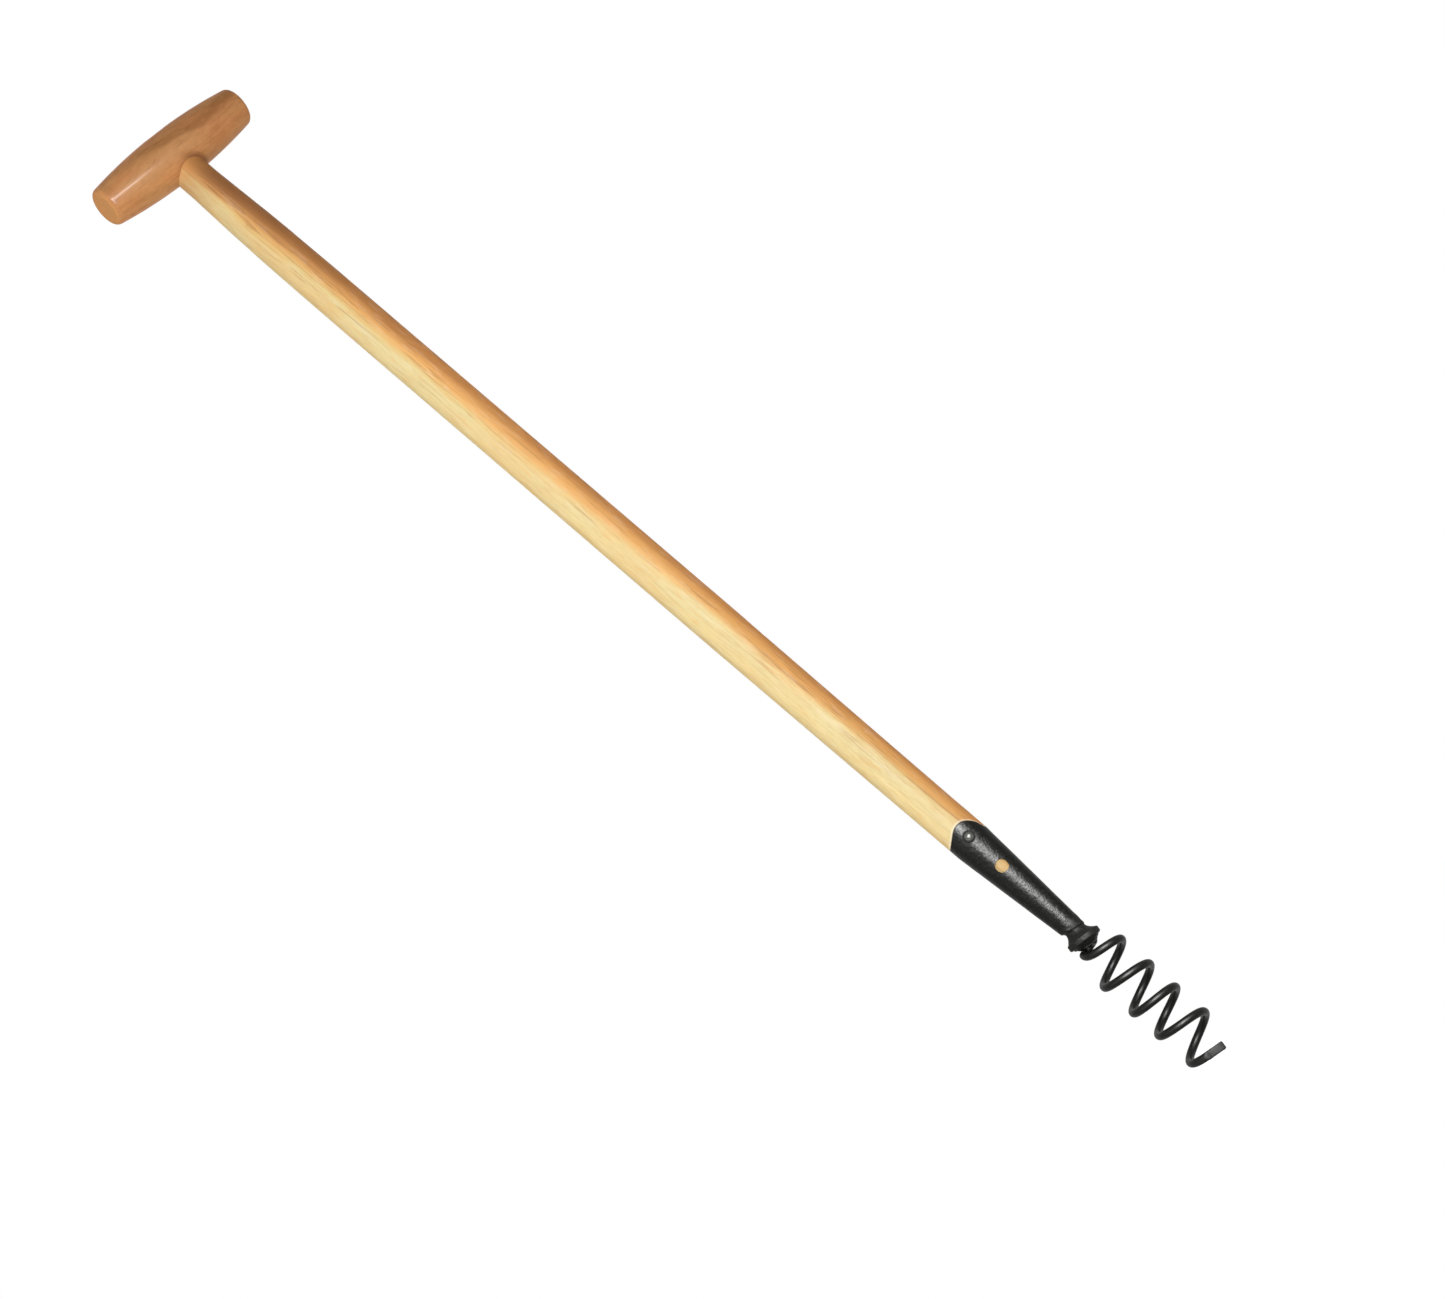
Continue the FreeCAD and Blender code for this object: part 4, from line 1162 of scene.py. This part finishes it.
@dataclass
class CoiledRod(MetalPart):
    """One rod: shank, bend, coil falling from side to side, then the hammered flat tip.

    The shares are the heights of the coil's left and right sides, in turn, over the tip.
    Sizes are in millimetres, but flat_matt, where the finish changes, is in metres.
    """

    coil_length: float = 114.3
    rod_radius: float = 2.95
    full_radius: float = 16.25
    first_radius: float = 9.1
    left_degrees: float = 174.0
    shares: tuple[float, ...] = (0.8785, 0.767, 0.651, 0.533, 0.441, 0.327, 0.2115, 0.076)
    last_half_turn: float = 0.655
    shank_offset: float = 3.0
    shank_length: float = 5.0
    mouth_rise: float = 1.5
    root_bend: float = 4.5
    root_drop: float = 2.0
    flat_length: float = 13.5
    flat_width: float = 6.0
    flat_thickness: float = 4.0
    flat_squareness: float = 3.2
    corner_round: float = 0.9
    hammered: float = 0.05
    drawn: float = 0.04
    drift: float = 0.8
    flat_matt: Span = (0.012, 0.004)
    columns: int = 48
    step: float = 0.42

    @property
    def left(self) -> Array:
        """Direction of the coil's left sides."""
        a = np.radians(self.left_degrees)
        return np.array([np.cos(a), np.sin(a), 0.0])

    @property
    def tip_height(self) -> float:
        """Height of the line at the tip.

        Returns:
            Half the flat's width, less what the slope takes.
        """
        run = self.last_half_turn * np.pi * self.full_radius
        slope = np.arctan2(self.shares[-1] * self.coil_length, run)
        return self.flat_width / 2.0 * np.cos(slope)

    def coil_line(self, half: Array) -> Array:
        """Centre line of the coil.

        Args:
            half: Half turns after the first left side.

        Returns:
            Points: a circle whose radius eases out over the first half turn and whose
            centre drifts to the left, and a height that is a cubic between the sides, with
            mean slopes at them.
        """
        low = self.tip_height
        knots = np.append(np.arange(len(self.shares) + 1.0),
                          len(self.shares) + self.last_half_turn)
        first = self.collar.face + self.mouth_rise - self.root_bend - self.root_drop
        sides = low + np.array(self.shares) * (self.coil_length - low)
        heights = np.concatenate([[first], sides, [low]])
        steps = np.diff(heights) / np.diff(knots)
        slopes = np.concatenate([[steps[0]], (steps[1:] + steps[:-1]) / 2.0, [steps[-1]]])
        i = np.minimum(half.astype(int), len(self.shares))
        width = knots[i + 1] - knots[i]
        u = (half - knots[i]) / width
        z = ((1 + 2 * u) * (1 - u) ** 2 * heights[i] + u * (1 - u) ** 2 * width * slopes[i]
             + u ** 2 * (3 - 2 * u) * heights[i + 1]
             + u ** 2 * (u - 1) * width * slopes[i + 1])
        r = self.first_radius + (self.full_radius - self.first_radius) * smooth(half)
        turn = np.radians(self.left_degrees) + np.pi * half
        aside = self.drift * smooth((half - 1.0) / 5.0)
        return np.stack([r * np.cos(turn) - aside, r * np.sin(turn), z], -1)

    def root_line(self) -> tuple[Array, Array]:
        """Centre line from the shank to the first left side.

        Returns:
            Points of the shank and its bend, a quarter circle, and points of the half
            circle that follows, whose fall grows from nothing.
        """
        left = self.left
        back = np.array([left[1], -left[0], 0.0])
        down = np.array([0.0, 0.0, -1.0])
        mouth = np.array([0.0, 0.0, self.collar.face + self.mouth_rise])
        foot = mouth - left * self.shank_offset
        shank = foot - down * np.linspace(self.shank_length, 0.0, 12)[:, None]
        t = np.linspace(0.0, np.pi / 2.0, 15)[1:, None]
        bend = foot + self.root_bend * ((1 - np.cos(t)) * back + np.sin(t) * down)
        half = (self.shank_offset + self.first_radius) / 2.0
        u = np.linspace(0.0, np.pi, 72)[1:-1, None]
        arc = bend[-1] + half * ((1 - np.cos(u)) * left + np.sin(u) * back)
        arc = arc + down * self.root_drop * (u / np.pi) ** 1.2
        return np.concatenate([shank, bend]), arc

    def line(self) -> tuple[Array, Array, Array]:
        """The whole centre line with its frame.

        Returns:
            Points, unit directions and unit normals. The normal is constant down the shank
            and round its bend, and level across the line from there on.
        """
        straight, arc = self.root_line()
        end = len(self.shares) + self.last_half_turn
        count = int(end * np.pi * self.full_radius / self.step)
        coil = self.coil_line(np.linspace(0.0, end, count))
        points = np.concatenate([straight, arc, coil])
        ahead = np.gradient(points, axis=0)
        ahead /= np.linalg.norm(ahead, axis=1, keepdims=True)
        level = np.cross(ahead, [0.0, 0.0, 1.0])
        level /= np.maximum(np.linalg.norm(level, axis=1, keepdims=True), 1e-9)
        start = len(straight)
        level *= np.sign(level[start] @ self.left)
        level[:start] = self.left
        return points, ahead, level

    def section(self, run: Array) -> tuple[Array, Array]:
        """Outline of the rod square to its line.

        Args:
            run: Distance left to the tip at each ring.

        Returns:
            Offsets along the normal and across it: a superellipse that goes from the round
            rod to the flat, cosine and sine each to the power of two over its exponent, and
            shrinks along a quarter circle at the very end.
        """
        theta = TAU * np.arange(self.columns) / self.columns
        run = run[:, None]
        flat = smooth((self.flat_length + 1.8 - run) / 3.2)
        spread = smooth((self.flat_length + 0.6 - run) / 1.5)
        thin = self.rod_radius + (self.flat_thickness / 2.0 - self.rod_radius) * flat
        wide = self.rod_radius + (self.flat_width / 2.0 - self.rod_radius) * spread
        power = 2.0 + self.flat_squareness * flat
        c, s = np.cos(theta), np.sin(theta)
        n = thin * np.sign(c) * np.abs(c) ** (2.0 / power)
        b = wide * np.sign(s) * np.abs(s) ** (2.0 / power)
        worn = self.corner_round - np.sqrt(np.maximum(
            self.corner_round ** 2 - np.maximum(self.corner_round - run, 0.0) ** 2, 0.0))
        hammered = self.hammered * flat * lumps((run * 1.9 + 2 * theta, 0.3),
                                                (run * 1.1 - 3 * theta, 1.9))
        drawn = self.drawn * lumps((run * 0.30 + theta, 0.0), (run * 0.17 - 2 * theta, 1.2))
        shrink = (1.0 - worn / np.maximum(np.hypot(n, b), 1e-6)) \
            + (hammered + drawn) / self.rod_radius
        return n * shrink, b * shrink

    def build(self) -> Pieces:
        """Make the rod's surface and dress it.

        Returns:
            The piece.
        """
        line, ahead, level = self.line()
        across = np.cross(ahead, level)
        steps = np.linalg.norm(np.diff(line, axis=0), axis=1)
        run = np.append(np.cumsum(steps[::-1])[::-1], 0.0)
        n, b = self.section(run)
        rings = line[:, None] + n[..., None] * level[:, None] + b[..., None] * across[:, None]
        points, faces, fans = closed_tube(rings, line[[0, -1]])
        points[:, 2] = np.maximum(points[:, 2], 0.0)
        coat = BlackCoat("black_coat_rod", mottle=0.4, roughness=0.43, grain=800.0,
                         relief=0.00003, gloss=0.53, places=self.wear)
        return self.stand_in("coiled_rod", (points, faces, fans), 50.0, coat,
                             "corkscrew", "coil_steel")

    def wear(self, nodes: NodeMaker, place: Field) -> tuple[Field, Field]:
        """Scratches on the hammered flat, which is matt.

        Args:
            nodes: Maker of the material's nodes.
            place: Object coordinates.

        Returns:
            Share of worn colour, and what is added to the roughness.
        """
        _, _, up = nodes.axes(place)
        scratch = nodes.noise(place, 700.0, 3.0, 0.6).rise(0.44, 0.66)
        low = up.rise(*self.flat_matt)
        return low * (scratch * 0.12 + 0.02), low * 0.22


@dataclass
class RootWeld(MetalPart):
    """Weld that fills the collar's hollow and stands round the rod in rippled runs."""

    rim_radius: float = 11.0
    foot_radius: float = 6.1
    depth: float = 3.4
    fill: float = 1.7
    fill_radius: float = 10.2
    columns: int = 192

    def swell(self, theta: Array, u: Array) -> Array:
        """How far the weld stands out of its plain cone.

        Args:
            theta: Angle of each column.
            u: Share of the way from the cone's foot to its rim.

        Returns:
            Crescents, each the size of a sine that leans round the cone, on two runs, sines
            of u, and a slow wandering of both.
        """
        crescents = np.abs(np.sin(11 * theta + 4.2 * u ** 2)) * smooth(4 * u * (1 - u))
        runs = np.abs(np.sin(TAU * u)) * 0.55
        wander = lumps((3 * theta + 5 * u, 0.3), (5 * theta - 3 * u, 1.4), (2 * theta, 2.2))
        return 0.16 * crescents * runs + 0.30 * runs + 0.24 * wander * smooth(3 * (1 - u))

    def build(self) -> Pieces:
        """Make the weld's surface, from the middle under the rod up to the fill, and dress it.

        Returns:
            The piece.
        """
        theta = TAU * np.arange(self.columns) / self.columns
        u = np.linspace(0.0, 1.0, 42)[:, None]
        swell = self.swell(theta, u)
        r = self.foot_radius + (self.rim_radius - self.foot_radius) * u + swell * 0.6
        z = -self.depth * (1.0 - u) - swell * 0.75 * smooth(5 * (1 - u))
        bottom = np.linspace(0.02, 0.94, 10)[:, None]
        z_low = z[:1] - 0.25 * np.cos(4 * theta + 9 * bottom) * smooth(3 * (1 - bottom)) * 0.6
        top_r, top_z = np.array([(self.fill_radius, 0.0), (self.fill_radius, self.fill),
                                 (POLE_RADIUS, self.fill)]).T[..., None] + 0 * theta
        r = np.concatenate([bottom * r[:1], r, top_r])
        z = np.concatenate([z_low, z, top_z])
        rings = self.collar.lean(r * np.cos(theta), r * np.sin(theta), z)
        coat = BlackCoat("black_coat_weld", mottle=0.4, roughness=0.52, grain=700.0,
                         relief=0.00004)
        return self.stand_in("rippled_weld", closed_tube(rings, rings[[0, -1]].mean(1)), 60.0,
                             coat, "root_weld", "weld_steel")


# Studio


@dataclass(frozen=True)
class Camera:
    """The photograph's camera: a place, a lens, and two points of the tool in the picture."""

    distance: float = 2.2
    azimuth_degrees: float = 26.0
    elevation_degrees: float = 12.0
    middle: float = 0.508
    lens: float = 77.3613
    film: float = 36.0
    width: float = 1445.0
    height: float = 1299.0
    grip_height: float = 0.995
    grip_pixel: Span = (172.75, 156.95)
    tip_pixel: Span = (1220.0, 1054.9)

    def ray(self, pixel: Span) -> Vector:
        """Direction of a pixel.

        Args:
            pixel: Place in the picture, from its upper left corner.

        Returns:
            Unit direction in the camera's own frame.
        """
        focal = self.lens / self.film * self.width
        return Vector(((pixel[0] - self.width / 2) / focal,
                       (self.height / 2 - pixel[1]) / focal, -1.0)).normalized()

    @staticmethod
    def triad(first: Vector, second: Vector) -> Matrix:
        """Square frame whose first axis is one direction and whose third is across both."""
        third = first.cross(second).normalized()
        return Matrix((first, third.cross(first), third)).transposed()

    def build(self) -> None:
        """Make the camera that sees both points at their pixels."""
        a, e = np.radians(self.azimuth_degrees), np.radians(self.elevation_degrees)
        place = Vector((-np.sin(a) * np.cos(e), -np.cos(a) * np.cos(e), -np.sin(e)))
        place = place * self.distance + Vector((0.0, 0.0, self.middle))
        grip = (Vector((0.0, 0.0, self.grip_height)) - place).normalized()
        tip = (Vector((0.0, 0.0, 0.0)) - place).normalized()
        turn = self.triad(grip, tip) @ self.triad(self.ray(self.grip_pixel),
                                                  self.ray(self.tip_pixel)).transposed()
        data = bpy.data.cameras.new("photo_camera")
        data.lens = self.lens
        data.sensor_width = self.film
        data.sensor_fit = "HORIZONTAL"
        data.clip_start = 0.05
        camera = bpy.data.objects.new("photo_camera", data)
        bpy.context.scene.collection.objects.link(camera)
        camera.matrix_world = Matrix.Translation(place) @ turn.to_4x4()
        bpy.context.scene.camera = camera


class Rays(Enum):
    """Which light a lamp gives: matt light, gloss or both."""

    BOTH = (True, True)
    MATT = (True, False)
    GLOSS = (False, True)


@dataclass(frozen=True)
class Lamp:
    """A soft box that looks at the tool from an azimuth left of its front.

    Its level is the brightness that it gives a white surface that faces it.
    """

    name: str
    azimuth_degrees: float
    distance: float
    height: float
    size: Span
    level: float
    aim_height: float = 0.5
    rays: Rays = Rays.BOTH

    def build(self) -> None:
        """Make the lamp; its power is the level times pi squared and its distance squared."""
        a = np.radians(self.azimuth_degrees)
        place = Vector((-np.sin(a) * self.distance, -np.cos(a) * self.distance, self.height))
        towards = Vector((0.0, 0.0, self.aim_height)) - place
        data = bpy.data.lights.new(self.name, "AREA")
        data.shape = "RECTANGLE"
        data.size, data.size_y = self.size
        data.energy = self.level * np.pi ** 2 * towards.length_squared
        lamp = bpy.data.objects.new(self.name, data)
        bpy.context.scene.collection.objects.link(lamp)
        lamp.location = place
        lamp.rotation_euler = towards.to_track_quat("-Z", "Y").to_euler()
        lamp.visible_diffuse, lamp.visible_glossy = self.rays.value


@dataclass
class Studio:
    """White floor and world, and soft boxes round the tool."""

    floor_size: float = 14.0
    floor_drop: float = 0.0004
    floor_tone: float = 0.93
    floor_lift: float = 0.62
    fade: Span = (0.25, 0.80)
    world_level: float = 0.20
    lamps: tuple[Lamp, ...] = (
        Lamp("front_box", 15.0, 1.7, 0.50, (0.45, 0.90), 0.58, rays=Rays.MATT),
        Lamp("front_box_sheen", 15.0, 1.7, 0.45, (0.85, 1.00), 12.0, rays=Rays.GLOSS),
        Lamp("ridge_strip", -6.5, 1.7, 0.57, (0.42, 0.04), 1.30, aim_height=0.9955,
             rays=Rays.GLOSS),
        Lamp("left_box", 82.0, 2.2, 0.80, (1.5, 1.5), 0.42),
        Lamp("back_box", 205.0, 2.4, 0.70, (1.6, 1.6), 0.40, rays=Rays.MATT),
        Lamp("top_box", 180.0, 0.4, 2.90, (1.8, 1.8), 0.18, rays=Rays.MATT),
    )

    def build(self) -> None:
        """Make floor, world and lamps."""
        half = self.floor_size / 2.0
        corners = np.array([(-1, -1, 0), (1, -1, 0), (1, 1, 0), (-1, 1, 0)]) * half
        floor = make_piece("studio_floor", corners - (0.0, 0.0, self.floor_drop),
                           np.array([[0, 1, 2, 3]]))
        dress(floor, self.floor_material())
        self.world()
        for lamp in self.lamps:
            lamp.build()

    @staticmethod
    def seen(nodes: NodeMaker) -> Field:
        """1 where the camera, a mirror or a glass looks straight at it, else 0.

        Args:
            nodes: Maker of the tree's nodes.

        Returns:
            The largest of the three rays' marks.
        """
        path = nodes.node("ShaderNodeLightPath", output="Is Camera Ray")
        outputs = path.socket.node.outputs
        glossy = Field(nodes, outputs["Is Glossy Ray"])
        through = Field(nodes, outputs["Is Transmission Ray"])
        return path.most(glossy).most(through)

    def floor_material(self) -> bpy.types.Material:
        """Pale floor that keeps the tool's shadow and is white from afar.

        Returns:
            The material.
        """
        material, nodes = new_material("pale_floor")
        plain = nodes.node("ShaderNodeBsdfDiffuse", None,
                           {"Color": (self.floor_tone,) * 3 + (1.0,)})
        white = nodes.node("ShaderNodeEmission", None, {"Color": (1.0, 1.0, 1.0, 1.0)})
        lift = nodes.node("ShaderNodeEmission", None,
                          {"Color": (self.floor_lift,) * 3 + (1.0,)})
        lit = nodes.node("ShaderNodeAddShader", None, [plain, lift])
        x, y, _ = nodes.axes(nodes.place())
        far = (x * x + y * y).root().rise(*self.fade)
        near = nodes.node("ShaderNodeMixShader", None, [far, lit, white])
        mixed = nodes.node("ShaderNodeMixShader", None, [self.seen(nodes), plain, near])
        nodes.node("ShaderNodeOutputMaterial", None, {"Surface": mixed})
        return material

    def world(self) -> None:
        """White world: full strength where it is seen, less as light."""
        world = bpy.data.worlds.new("white_world")
        world.use_nodes = True
        bpy.context.scene.world = world
        nodes = NodeMaker(world.node_tree)
        light, white = (nodes.node("ShaderNodeBackground", None,
                                   {"Color": (1.0, 1.0, 1.0, 1.0), "Strength": strength})
                        for strength in (self.world_level, 1.0))
        mixed = nodes.node("ShaderNodeMixShader", None, [self.seen(nodes), light, white])
        nodes.node("ShaderNodeOutputWorld", None, {"Surface": mixed})


def main() -> None:
    """Build the tool's parts in order and report their pieces, then build the studio."""
    logging.basicConfig(level=logging.INFO, format="%(name)s %(message)s")
    bpy.context.scene.view_settings.view_transform = "Standard"
    Camera().build()
    for part in (Handle(), Socket(), SocketRivet(), CoiledRod(), RootWeld()):
        for piece in part.build():
            LOG.info("%s: %d faces", piece.name, len(piece.data.polygons))
    Studio().build()


if __name__ == "__main__":
    main()
